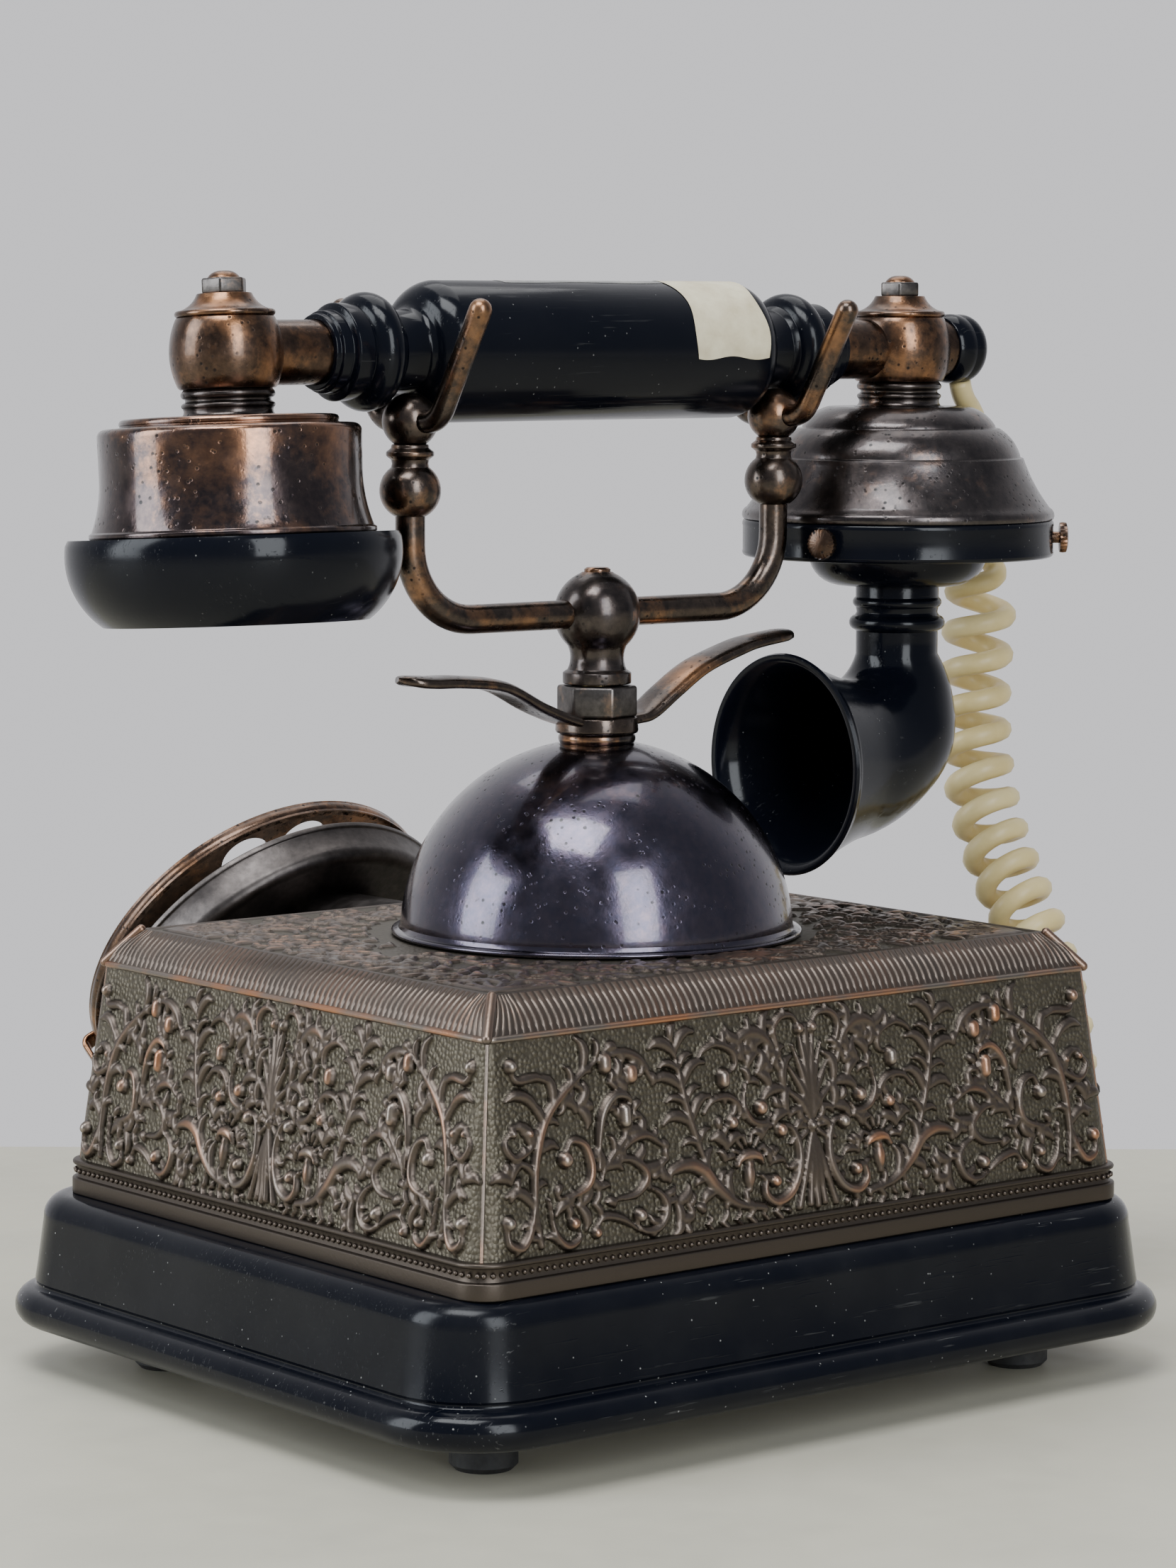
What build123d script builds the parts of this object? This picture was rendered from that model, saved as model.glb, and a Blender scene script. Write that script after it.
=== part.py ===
from build123d import *
from math import asin, atan2, cos, degrees, radians, sin, sqrt, tan
import os

# French style cradle telephone: embossed metal case on a moulded plinth, dome, cradle, handset, dial.
# Millimetres. +Z is up, the dial faces -Y, the earpiece is at +X and the mouthpiece at -X.
# The model is built about the centre of the case and moved to the middle of its own box at the end.

os.makedirs("parts", exist_ok=True)

# Plinth, base plate and feet
foot_radius = 6.1
foot_height = 9.4
foot_x = 64.5
foot_y = 49.7
plate_thickness = 1.5
plinth_shift = -1.9
plinth_low = 8.4
plinth_top = 33.3
bead_half_x = 90.0
bead_half_y = 76.4
bead_height = 7.1
bead_round = 3.3
bead_corner = 21.0
bead_reach = 3.8
wall_lean = 2.0
plinth_round = 4.6
plinth_wall = 3.0
ledge_width = 16.0
ledge_corner = 6.0
plate_gap = 0.3

# Case
case_half_x = 78.2
case_half_y = 65.9
case_corner = 6.0
band_height = 3.1
band_proud = 0.6
lip_z = 77.8
lip_half_x = 71.9
lip_half_y = 60.1
lip_height = 1.2
lip_proud = 0.5
lip_corner = 1.5
case_top = 84.0
top_half_x = 66.3
top_half_y = 54.4
top_corner = 1.0
case_wall = 2.0
scroll_width = 1.5
scroll_height = 0.9
scroll_sink = 0.6
scroll_ball = 1.4

# Cradle post and what it carries
cradle_y = 1.0
dome_radius = 37.35
dome_sink = 0.7
dome_wall = 1.8
dome_flange = 38.8
dome_flange_height = 0.9
collar_radius = 7.0
collar_top = 121.9
bushing_radius = 5.0
bushing_low = 68.6
bushing_flange = 10.0
bushing_flange_height = 2.0
bushing_gap = 0.1
post_radius = 3.45
post_gap = 0.05
post_low = 62.0
post_foot = 6.5
post_foot_height = 2.0
plate_boss = 7.7
plate_boss_height = 3.1
wing_width = 9.0
wing_thickness = 2.0
nut_flats = 13.4
nut_height = 5.9
nut_turn = 51.0
cradle_gap = 0.3
cradle_travel = 4.0

hub_z = 144.5
hub_radius = 8.2
hub_ring = 6.5
hub_ring_height = 2.1
hub_neck = 5.2
hub_neck_top = 5.5
hub_flat = 2.9
hub_screw_radius = 2.5
hub_screw_shank = 1.6
hub_screw_head = 1.0
bar_radius = 2.74
bar_gap = 0.04
bar_bend = 14.0
arm_x = 43.9
arm_ball_z = 168.6
arm_ball_radius = 5.5
arm_collar_radius = 4.45
arm_neck_radius = 3.4
fork_seat = 177.0
fork_z = 181.3
fork_ball_radius = 5.1
prong_radius = 2.15
prong_knee = 8.6
prong_bend = 5.5
prong_lean = 0.62
prong_top = 201.3

# Hook switch under the case top
bracket_y = 11.0
bracket_thickness = 1.5
bracket_low_x = -8.0
bracket_high_x = 27.0
shelf_z = 50.0
bracket_foot = 10.0
spring_radius = 2.4
spring_wire = 0.45
spring_pitch = 1.6
lever_x = 14.0
lever_z = 61.0
lever_hub = 2.2
lever_pin = 1.0
lever_reach = 12.0
lever_tail = 4.0
lever_width = 4.0
lever_thickness = 1.2
lever_y = 4.5
lever_gap = 0.4
stack_x = 17.0
stack_width = 8.0
stack_low = 67.0
stack_high = 77.0
leaf_thickness = 0.4
leaf_reach = 9.0
leaf_width = 3.0

# Handset
handset_y = -3.6
handset_z = 193.7
cup_spacing = 81.0
grip_radius = 13.1
grip_crest = 36.0
grip_shoulder = 40.2
grip_neck = 7.6
grip_end = 61.8
tube_radius = 5.86
tube_wall = 1.2
tube_gap = 0.04
ear_tilt = 3.3

fitting_radius = 10.2
fitting_half = 6.4
fitting_top = 8.7
fitting_socket = 4.5
bolt_radius = 2.2
bolt_dome = 2.9
bolt_gap = 0.05
washer_radius = 8.85
washer_top = 4.9
washer_rim = 1.1
washer_height = 4.1
fitting_nut_flats = 7.6
fitting_nut_height = 2.8
bolt_dome_height = 1.2

neck_radius = 8.2
neck_flare = 9.1
neck_depth = 11.4
cup_depth = 21.0
cup_disc = 19.3
cup_disc_height = 1.6
cup_shoulder = 23.5
cup_skirt = 25.4
cup_wall = 1.6
cap_radius = 29.9
cap_face = 24.2
cap_height = 15.6
cap_floor = 6.0
cap_dish = 2.0
cap_hole = 1.2
cap_hole_circle = 5.5
cap_holes = 6
capsule_radius = 21.7
capsule_height = 15.0

bell_depth = 22.3
bell_radius = 31.0
bell_wall = 1.6
mouth_ring_height = 7.5
mouth_ring_inner = 26.0
mouth_ring_floor = 1.5
thumb_stem = 1.15
thumb_head = 2.9
thumb_head_thickness = 1.7
thumb_stand = 1.2
thumb_turn = 141.0
thumb_count = 3
dish_radius = 17.8
dish_height = 5.4
dish_throat = 6.0
transmitter_radius = 23.0
transmitter_height = 12.0

horn_neck = 8.3
horn_ring = 9.4
horn_ring_height = 8.4
horn_straight = 5.7
horn_pivot = 13.0
horn_inner = 4.8
horn_mouth = 22.0
horn_run = 17.2
horn_wall = 1.8
horn_rim_length = 2.4

end_cap_x = 92.0
end_cap_length = 8.5
end_cap_radius = 6.6
end_cap_face = 5.0

# Handset cord
cord_radius = 2.2
coil_radius = 7.65
top_route = [
    (-97.6, -3.6, 187.2), (-98.4, -3.8, 184.2), (-102.3, -5.2, 181.6), (-107.0, -7.4, 176.7),
    (-111.4, -10.2, 169.8), (-114.3, -12.8, 161.4), (-115.4, -14.6, 152.0), (-114.8, -14.8, 142.6),
]
coil_route = [
    (-114.8, -14.8, 142.6), (-114.0, -15.1, 129.6), (-113.2, -14.8, 116.6), (-112.3, -11.9, 102.9),
    (-111.5, -5.2, 89.5), (-110.8, 4.0, 77.7), (-110.0, 11.8, 64.8), (-109.1, 16.0, 50.9),
    (-108.3, 16.9, 38.9),
]
base_route = [
    (-108.3, 16.9, 38.9), (-107.8, 17.2, 30.9), (-103.6, 15.8, 23.9), (-96.8, 13.7, 19.8),
    (-89.0, 12.2, 19.6),
]
grommet_y = 12.2
grommet_z = 19.6
grommet_flange = 3.9
grommet_barrel = 3.2
grommet_out_x = -88.9
grommet_seat_x = -86.1
grommet_in_x = -79.0
inlet_y = -20.0

# Dial
dial_y = -112.1
dial_z = 69.2
dial_lean = 55.0
wheel_radius = 38.9
wheel_thickness = 1.5
wheel_rim = 3.0
wheel_rim_wall = 1.3
hole_circle = 29.6
hole_radius = 5.4
hole_count = 10
hole_pitch = 26.0
hole_first = 62.0
wheel_hub = 6.0
card_radius = 12.5
card_height = 2.2
shaft_radius = 3.0
plate_depth = 9.6
plate_radius = 36.6
number_plate_thickness = 1.0
cup_front = 8.4
cup_rear = 17.0
cup_front_radius = 40.3
cup_rear_radius = 39.0
dial_cup_wall = 1.8
dial_cup_floor = 1.6
dial_cup_ledge = 35.0
frame_radius = 30.0
frame_depth = 13.4
gear_radius = 20.0
gear_depth = 11.4
gear_thickness = 1.4
pinion_radius = 5.0
pinion_gap = 0.5
governor_shaft = 1.2
stop_turn = -38.0
stop_width = 4.0
stop_thickness = 1.2
stop_gap = 0.8
stop_inner = 21.5
stop_outer = 41.8
dial_neck_radius = 19.0
dial_neck_wall = 2.0
dial_neck_z = 64.0

# Ringer and circuit inside the base
pillar_radius = 3.2
pillar_x = 54.0
pillar_y = 42.0
screw_radius = 1.5
screw_head = 3.2
screw_head_height = 1.6
screw_length = 8.0
screw_gap = 0.1
ringer_x = -32.0
ringer_half_x = 9.0
ringer_half_y = 32.0
ringer_plate = 1.5
coil_y = 11.0
bobbin_radius = 8.0
bobbin_top = 36.0
core_radius = 3.0
core_stand = 0.6
ear_width = 5.0
ear_thickness = 1.5
pivot_z = 40.5
pivot_radius = 1.0
pivot_gap = 0.05
ear_half_gap = 5.0
armature_half = 18.0
armature_width = 8.0
armature_thickness = 2.0
clapper_rod = 0.9
clapper_ball = 3.0
clapper_z = 64.0
gong_y = 24.0
gong_radius = 17.0
gong_top = 71.0
gong_height = 12.0
gong_wall = 1.2
gong_post = 2.6
gong_stem = 1.6
gong_screw = 3.6
gong_screw_height = 1.6
board_low_x = 14.0
board_high_x = 44.0
board_half_y = 38.0
board_z = 17.0
board_thickness = 1.6
standoff_radius = 2.4
standoff_inset = 4.0
transformer_x = 22.0
transformer_y = 26.0
transformer_height = 18.0
condenser_radius = 6.0
condenser_length = 24.0

overrun = 1.0

base_top = foot_height + plate_thickness
case_floor = case_top - case_wall
dome_centre = case_top - dome_sink
nut_low = collar_top + plate_boss_height
nut_top = nut_low + nut_height
hub_low = nut_top + cradle_gap
CRADLE = Pos(0, cradle_y, 0)
HANDSET = Pos(0, handset_y, handset_z)
EAR = HANDSET * Pos(cup_spacing, 0, 0) * Rot(ear_tilt, 0, 0)
MOUTH = HANDSET * Pos(-cup_spacing, 0, 0)
DIAL = Pos(0, dial_y, dial_z) * Rot(dial_lean, 0, 0)


def at(point):
    """A point given as radius and height."""
    return (point[0], 0, point[1])


def outline(start, *steps):
    """A closed face in radius and height; a step that holds two points is an arc through the first."""
    edges, here = [], start
    for step in steps:
        if isinstance(step[0], tuple):
            edges.append(ThreePointArc(at(here), at(step[0]), at(step[1])))
            here = step[1]
        else:
            edges.append(Line(at(here), at(step)))
            here = step
    edges.append(Line(at(here), at(start)))
    return make_face(edges)


def turn(start, *steps):
    """A turned solid about Z."""
    return revolve(outline(start, *steps), Axis.Z)


def rod(radius, low, high):
    """A cylinder about Z between two heights."""
    return Pos(0, 0, low) * Cylinder(radius, high - low, align=(Align.CENTER, Align.CENTER, Align.MIN))


def ring(outer, inner, low, high):
    """A tube about Z between two heights."""
    return rod(outer, low, high) - rod(inner, low - overrun, high + overrun)


def rod_x(radius, low, high):
    """A cylinder about X between two places."""
    return Rot(0, 90, 0) * rod(radius, low, high)


def rod_y(radius, low, high):
    """A cylinder about Y between two places."""
    return Rot(-90, 0, 0) * rod(radius, low, high)


def block(low, high):
    """A box from its lowest to its highest corner."""
    size = [high[i] - low[i] for i in range(3)]
    middle = [(high[i] + low[i]) / 2 for i in range(3)]
    return Pos(*middle) * Box(*size)


def slab(half_x, half_y, corner, low, high):
    """A rounded rectangle raised between two heights."""
    return Pos(0, 0, low) * extrude(RectangleRounded(2 * half_x, 2 * half_y, corner), high - low)


def taper(low, high):
    """A rounded frustum between two levels, each (half x, half y, corner, height)."""
    faces = [Pos(0, 0, z) * RectangleRounded(2 * x, 2 * y, corner) for x, y, corner, z in (low, high)]
    return loft(faces, ruled=True)


def routed(points):
    """The centre line of a cord: straight runs joined by arcs as large as the runs allow."""
    points = [Vector(*point) for point in points]
    radii = []
    for before, here, after in zip(points, points[1:], points[2:]):
        turn_angle = (here - before).get_angle(after - here)
        shorter = min((here - before).length, (after - here).length)
        radii.append(0.45 * shorter / tan(radians(turn_angle) / 2))
    print("cord radii", [round(radius, 1) for radius in radii])
    return FilletPolyline(*points, radius=radii)


def tube_along(path, radius):
    """A round solid along a path."""
    return sweep(Plane(origin=path @ 0, z_dir=path % 0) * Circle(radius), path=path)


pieces = {}
cord_names = ["cord_lead_top", "curly_cord", "cord_lead_base"]


def keep(node, *shapes):
    """Remember the solids of one node."""
    pieces[node] = [solid for shape in shapes for solid in shape.solids()]


def write_nodes():
    """Move everything so that the object's box stands on the origin, and write one file per node."""
    held = [solid for node, solids in pieces.items() if node not in cord_names for solid in solids]
    boxes = [solid.bounding_box() for solid in held]
    middle_x = (min(box.min.X for box in boxes) + max(box.max.X for box in boxes)) / 2
    middle_y = (min(box.min.Y for box in boxes) + max(box.max.Y for box in boxes)) / 2
    print("origin", round(middle_x, 4), round(middle_y, 4))
    for node, solids in pieces.items():
        moved = [Pos(-middle_x, -middle_y, 0) * solid for solid in solids]
        whole = moved[0] if len(moved) == 1 else Compound(moved)
        export_step(whole, "parts/" + node + ".step")


def corners(x, y):
    """The four places of a rectangle about the middle."""
    return [Pos(sx * x, sy * y, 0) for sx in (-1, 1) for sy in (-1, 1)]


# Plinth and what fastens under it

def plinth():
    wall_x, wall_y = bead_half_x - bead_reach, bead_half_y - bead_reach
    wall_corner = bead_corner - bead_reach / 2
    bead = slab(bead_half_x, bead_half_y, bead_corner, plinth_low, plinth_low + bead_height)
    level = bead.faces().sort_by(Axis.Z)
    bead = fillet(level[0].edges() + level[-1].edges(), bead_round)
    wall = taper((wall_x, wall_y, wall_corner, plinth_low + bead_height / 2),
                 (wall_x - wall_lean, wall_y - wall_lean, wall_corner - wall_lean, plinth_top))
    wall = fillet(wall.faces().sort_by(Axis.Z)[-1].edges(), plinth_round)
    hollow_x, hollow_y = wall_x - wall_lean - plinth_wall, wall_y - wall_lean - plinth_wall
    ceiling = plinth_top - plinth_wall
    hollow = slab(hollow_x, hollow_y, wall_corner - plinth_wall, plinth_low - overrun, ceiling)
    way_up = slab(hollow_x - ledge_width / 2, hollow_y - ledge_width / 2, ledge_corner, plinth_low,
                  plinth_top + overrun)
    body = Pos(0, plinth_shift, 0) * (bead + wall - hollow - way_up)
    for y in (grommet_y, inlet_y):
        body -= Pos(0, y, grommet_z) * rod_x(grommet_barrel + screw_gap, -bead_half_x, grommet_in_x - overrun)
    return body


def base_plate():
    wall_x, wall_y = bead_half_x - bead_reach, bead_half_y - bead_reach
    half_x = wall_x - wall_lean - plinth_wall - plate_gap
    half_y = wall_y - wall_lean - plinth_wall - plate_gap
    corner = bead_corner - bead_reach / 2 - plinth_wall - plate_gap
    plate = Pos(0, plinth_shift, 0) * slab(half_x, half_y, corner, foot_height, base_top)
    for place in corners(pillar_x, pillar_y):
        plate -= place * rod(screw_radius + screw_gap, foot_height - overrun, base_top + overrun)
    return plate


def rubber_feet():
    edge = foot_radius / 6
    foot = turn((0, 0), (foot_radius - edge, 0), (foot_radius, edge), (foot_radius, foot_height),
                (0, foot_height))
    return [place * foot for place in corners(foot_x, foot_y)]


def case_pillars():
    pillar = rod(pillar_radius, base_top, case_floor)
    pillar -= rod(screw_radius + screw_gap / 2, base_top - overrun, base_top + screw_length)
    return [place * pillar for place in corners(pillar_x, pillar_y)]


def case_screws():
    screw = rod(screw_head, foot_height - screw_head_height, foot_height)
    screw += rod(screw_radius, foot_height, foot_height + screw_length)
    return [place * screw for place in corners(pillar_x, pillar_y)]


# Case, dome and the fixed pieces of the cradle post

# Main scrolls of one half of a panel as shares: across of its half width, up of its height
scroll_shares = [
    [(0.83, 0.2), (0.855, 0.37), (0.865, 0.53), (0.845, 0.66), (0.79, 0.76), (0.72, 0.84),
     (0.655, 0.89)],
    [(0.665, 0.45), (0.67, 0.59), (0.65, 0.68), (0.61, 0.73), (0.57, 0.71)],
    [(0.765, 0.535), (0.735, 0.57), (0.705, 0.54), (0.69, 0.46), (0.7, 0.39), (0.74, 0.36),
     (0.785, 0.355)],
    [(0.165, 0.2), (0.25, 0.235), (0.315, 0.315), (0.355, 0.385), (0.4, 0.415), (0.45, 0.4)],
    [(0.33, 0.36), (0.36, 0.48), (0.39, 0.63), (0.41, 0.77), (0.425, 0.89)],
    [(0.098, 0.51), (0.066, 0.49), (0.049, 0.42), (0.052, 0.33), (0.082, 0.24), (0.13, 0.215),
     (0.158, 0.26)],
    [(0.004, 0.53), (0.02, 0.7), (0.046, 0.82)],
    [(0.02, 0.905), (0.046, 0.94), (0.085, 0.94), (0.107, 0.89), (0.095, 0.79)],
    [(0.812, 0.36), (0.798, 0.24), (0.765, 0.175), (0.73, 0.19)],
    [(0.535, 0.36), (0.485, 0.32), (0.465, 0.255), (0.49, 0.19), (0.535, 0.185)],
    [(0.65, 0.45), (0.575, 0.475), (0.525, 0.405), (0.555, 0.33), (0.65, 0.315)],
    [(0.243, 0.385), (0.225, 0.415), (0.2, 0.42), (0.175, 0.405), (0.165, 0.38)],
    [(0.204, 0.7), (0.215, 0.61), (0.195, 0.55), (0.15, 0.53)],
    [(0.275, 0.76), (0.243, 0.785), (0.25, 0.845), (0.3, 0.87), (0.34, 0.85)],
    [(0.002, 0.47), (0.018, 0.33), (0.058, 0.18)],
]
scroll_ball_shares = [(0.0, 0.495), (0.1, 0.495), (0.132, 0.295), (0.277, 0.735), (0.163, 0.595),
                      (0.258, 0.555), (0.6, 0.64), (0.775, 0.505), (0.645, 0.85), (0.565, 0.8),
                      (0.555, 0.245), (0.945, 0.29)]


def scroll(points):
    """One raised scroll that narrows towards its ends, seen flat."""
    line = Spline(points)
    steps = 2 * len(points)
    edges = []
    for side in (-1, 1):
        edge = []
        for step in range(steps + 1):
            half = scroll_width / 2 * (0.5 + 0.5 * sin(radians(180 * step / steps)))
            way = line % (step / steps)
            edge.append(line @ (step / steps) + Vector(-way.Y, way.X) * side * half)
        edges.append(edge)
    left, right = edges
    return make_face([Spline(left), Line(left[-1], right[-1]), Spline(right), Line(left[0], right[0])])


def relief(half_low, half_high, deep_low, deep_high):
    """The main scrolls and balls on one side, as seen on the side that faces +Y."""
    rise = lip_z - plinth_top
    lean = atan2(deep_low - deep_high, rise)
    face = Plane(origin=(0, deep_low, plinth_top), x_dir=(-1, 0, 0), z_dir=(0, cos(lean), sin(lean)))
    height = scroll_height + scroll_sink

    def spot(share, up, side):
        return (side * share * (half_low + (half_high - half_low) * up), up * rise / cos(lean))

    raised = []
    for side in (-1, 1):
        for shares in scroll_shares:
            flat = scroll([spot(share, up, side) for share, up in shares])
            raised.append(extrude(Pos(0, 0, -scroll_sink) * flat, height, dir=(0, 0, 1)))
        for share, up in scroll_ball_shares:
            raised.append(Pos(*spot(share, up, side), -scroll_sink) * rod(scroll_ball, 0, height))
    return [face.location * solid for solid in raised]


def case_relief():
    """The main scrolls of all four sides, clear of the dial neck."""
    half_x, half_y = case_half_x - band_proud, case_half_y - band_proud
    crest_x, crest_y = lip_half_x - lip_proud, lip_half_y - lip_proud
    long_side = relief(half_x, crest_x, half_y, crest_y)
    short_side = relief(half_y, crest_y, half_x, crest_x)
    neck = Pos(0, 0, dial_neck_z) * rod_y(dial_neck_radius + scroll_width, -half_y - scroll_ball, 0)
    raised = long_side + [Rot(0, 0, 180) * solid - neck for solid in long_side]
    return raised + [Rot(0, 0, side * 90) * solid for solid in short_side for side in (-1, 1)]


def case_outer():
    """The full outer volume of the case."""
    panel = taper((case_half_x - band_proud, case_half_y - band_proud, case_corner, plinth_top),
                  (lip_half_x - lip_proud, lip_half_y - lip_proud, lip_corner, lip_z))
    band = slab(case_half_x, case_half_y, case_corner, plinth_top, plinth_top + band_height)
    lip = slab(lip_half_x, lip_half_y, lip_corner, lip_z - lip_height, lip_z)
    crown = taper((lip_half_x, lip_half_y, lip_corner, lip_z), (top_half_x, top_half_y, top_corner, case_top))
    return panel + band + lip + crown


def case_cover():
    low = taper((case_half_x - band_proud - case_wall, case_half_y - band_proud - case_wall, case_corner,
                 plinth_top - overrun),
                (lip_half_x - lip_proud - case_wall, lip_half_y - lip_proud - case_wall, lip_corner, lip_z))
    lean = (lip_half_x - top_half_x) * case_wall / (case_top - lip_z)
    crown = taper((lip_half_x - lip_proud - case_wall, lip_half_y - lip_proud - case_wall, lip_corner, lip_z),
                  (top_half_x - case_wall + lean, top_half_y - case_wall + lean, top_corner, case_floor))
    hole = CRADLE * rod(bushing_radius + bushing_gap, case_floor - overrun, case_top + overrun)
    return case_outer() + case_relief() - low - crown - hole


def dome():
    skin = Sphere(dome_radius) - Sphere(dome_radius - dome_wall)
    shell = Pos(0, 0, dome_centre) * skin
    shell -= rod(dome_radius + overrun, dome_centre - dome_radius - overrun, case_top)
    shell += ring(dome_flange, dome_radius - dome_wall, case_top, case_top + dome_flange_height)
    shell -= rod(bushing_radius + bushing_gap, case_top, collar_top)
    return CRADLE * shell


def dome_collar():
    low = dome_centre + sqrt(dome_radius ** 2 - collar_radius ** 2) - bushing_gap
    body = ring(collar_radius, bushing_radius + bushing_gap, low, collar_top)
    return CRADLE * (body - Pos(0, 0, dome_centre) * Sphere(dome_radius))


def post_bushing():
    body = rod(bushing_radius, bushing_low, nut_top)
    body += rod(bushing_flange, case_floor - bushing_flange_height, case_floor)
    return CRADLE * (body - rod(post_radius + post_gap, bushing_low - overrun, nut_top + overrun))


# Places along each wing as shares: distance along X of the arm spacing, rise of the nut height
ear_wing_shares = [(0.13, 0.2), (0.34, 0.85), (0.56, 1.55), (0.77, 1.68), (1.07, 1.72)]
mouth_wing_shares = [(-0.13, 0.2), (-0.37, 1.1), (-0.57, 1.9), (-0.82, 2.42), (-1.12, 2.6)]


def wing(shares, side):
    """One bent strip of the wing plate."""
    rise = collar_top + plate_boss_height / 3
    points = [(x * arm_x, 0, rise + z * nut_height) for x, z in shares]
    path = Spline(points, tangents=[(side, 0, 0.25), (side, 0, 0)])
    strip = Rectangle(wing_width, wing_thickness)
    return sweep(Plane(origin=path @ 0, z_dir=path % 0, x_dir=(0, 1, 0)) * strip, path=path)


def wing_plate():
    body = rod(plate_boss, collar_top, nut_low)
    for shares, side in ((ear_wing_shares, 1), (mouth_wing_shares, -1)):
        body += wing(shares, side)
    body -= rod(bushing_radius + bushing_gap, collar_top - overrun, nut_low + overrun)
    body -= rod(nut_flats, nut_low, nut_top) & rod(nut_flats * 0.62, nut_low, nut_top)
    return CRADLE * body


def hexagon(flats, low, high):
    """A hexagonal prism about Z."""
    return Pos(0, 0, low) * extrude(RegularPolygon(flats / 2, 6, major_radius=False), high - low)


def lock_nut():
    body = Rot(0, 0, nut_turn) * hexagon(nut_flats, nut_low, nut_top)
    return CRADLE * (body - rod(bushing_radius, nut_low - overrun, nut_top + overrun))


# Moving cradle

def plunger_post():
    top = hub_z - bar_radius - cradle_gap
    return CRADLE * (rod(post_radius, post_low, top) + rod(post_foot, post_low, post_low + post_foot_height))


def hub_ball():
    join = hub_z - sqrt(hub_radius ** 2 - hub_neck_top ** 2)
    flat = hub_z + sqrt(hub_radius ** 2 - hub_flat ** 2)
    step = hub_low + hub_ring_height
    body = turn((0, hub_low), (hub_ring, hub_low), (hub_ring, step),
                ((hub_neck, (step + join) / 2), (hub_neck_top, join)),
                ((hub_radius, hub_z), (hub_flat, flat)), (0, flat))
    body -= rod(post_radius, hub_low - overrun, hub_z - bar_radius)
    body -= rod(hub_screw_shank, hub_z, flat + overrun)
    body -= Pos(0, 0, hub_z) * rod_x(bar_radius + bar_gap, -hub_radius - overrun, hub_radius + overrun)
    return CRADLE * body


def hub_screw():
    flat = hub_z + sqrt(hub_radius ** 2 - hub_flat ** 2)
    body = rod(hub_screw_radius, flat, flat + hub_screw_head)
    return CRADLE * (body + rod(hub_screw_shank, hub_z + bar_radius + bar_gap, flat))


def yoke_bar():
    path = FilletPolyline((-arm_x, 0, fork_seat), (-arm_x, 0, hub_z), (arm_x, 0, hub_z), (arm_x, 0, fork_seat),
                          radius=bar_bend)
    return CRADLE * tube_along(path, bar_radius)


def arm_finial():
    """Ball and collar at the top of one arm, bored for the bar."""
    bore = bar_radius + bar_gap
    low = arm_ball_z + sqrt(arm_ball_radius ** 2 - arm_neck_radius ** 2)
    height = fork_seat - low
    ball = Pos(0, 0, arm_ball_z) * Sphere(arm_ball_radius)
    collar = turn((0, low), (arm_neck_radius, low), (arm_neck_radius, low + 0.2 * height),
                  (arm_collar_radius, low + 0.4 * height), (arm_collar_radius, low + 0.5 * height),
                  (arm_neck_radius, low + 0.8 * height), (arm_neck_radius, fork_seat), (0, fork_seat))
    return ball + collar - rod(bore, arm_ball_z - arm_ball_radius - overrun, fork_seat + overrun)


def arm_finials():
    return [CRADLE * Pos(side * arm_x, 0, 0) * arm_finial() for side in (-1, 1)]


def fork():
    """Ball with two bent prongs that the handset lies in."""
    reach = prong_knee + prong_lean * (prong_top - fork_z)
    path = FilletPolyline((0, -reach, prong_top), (0, -prong_knee, fork_z), (0, prong_knee, fork_z),
                          (0, reach, prong_top), radius=prong_bend)
    body = tube_along(path, prong_radius) + Pos(0, 0, fork_z) * Sphere(fork_ball_radius)
    for side in (-1, 1):
        body += Pos(0, side * reach, prong_top) * Sphere(prong_radius)
    return body - rod(fork_ball_radius + overrun, fork_seat - fork_ball_radius, fork_seat)


# Hook switch

def hook_bracket():
    wall = block((bracket_low_x, bracket_y, shelf_z),
                 (bracket_high_x, bracket_y + bracket_thickness, case_floor))
    foot = block((bracket_low_x, bracket_y, case_floor - bracket_thickness),
                 (bracket_high_x, bracket_y + bracket_foot, case_floor))
    shelf = block((bracket_low_x, -post_foot, shelf_z),
                  (-bracket_low_x, bracket_y, shelf_z + bracket_thickness))
    pin = Pos(lever_x, 0, lever_z) * rod_y(lever_pin + post_gap, bracket_y - overrun,
                                           bracket_y + bracket_thickness + overrun)
    return CRADLE * (wall + foot + shelf - pin)


def hook_spring():
    low = shelf_z + bracket_thickness + spring_wire
    path = Pos(0, 0, low) * Helix(spring_pitch, post_low - spring_wire - low, spring_radius)
    return CRADLE * tube_along(path, spring_wire)


def hook_lever():
    top = post_low - lever_gap
    strip = block((lever_x - lever_reach, lever_y, top - lever_thickness),
                  (lever_x + lever_tail, lever_y + lever_width, top))
    body = strip + Pos(lever_x, 0, lever_z) * rod_y(lever_hub, lever_y, bracket_y - cradle_gap)
    pin = Pos(lever_x, 0, lever_z) * rod_y(lever_pin, lever_y, bracket_y + bracket_thickness)
    return CRADLE * (body + pin)


def contact_stack():
    high_y = bracket_y
    low_y = high_y - leaf_width - leaf_thickness
    body = block((stack_x, low_y, stack_low), (stack_x + stack_width, high_y, stack_high))
    pieces = []
    for share in (0.25, 0.5, 0.75):
        z = stack_low + share * (stack_high - stack_low)
        leaf = block((stack_x - leaf_reach, low_y, z),
                     (stack_x + stack_width / 2, low_y + leaf_width, z + leaf_thickness))
        body -= leaf
        pieces.append(leaf)
    return [CRADLE * piece for piece in [body] + pieces]


# Handset grip and tube

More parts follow.
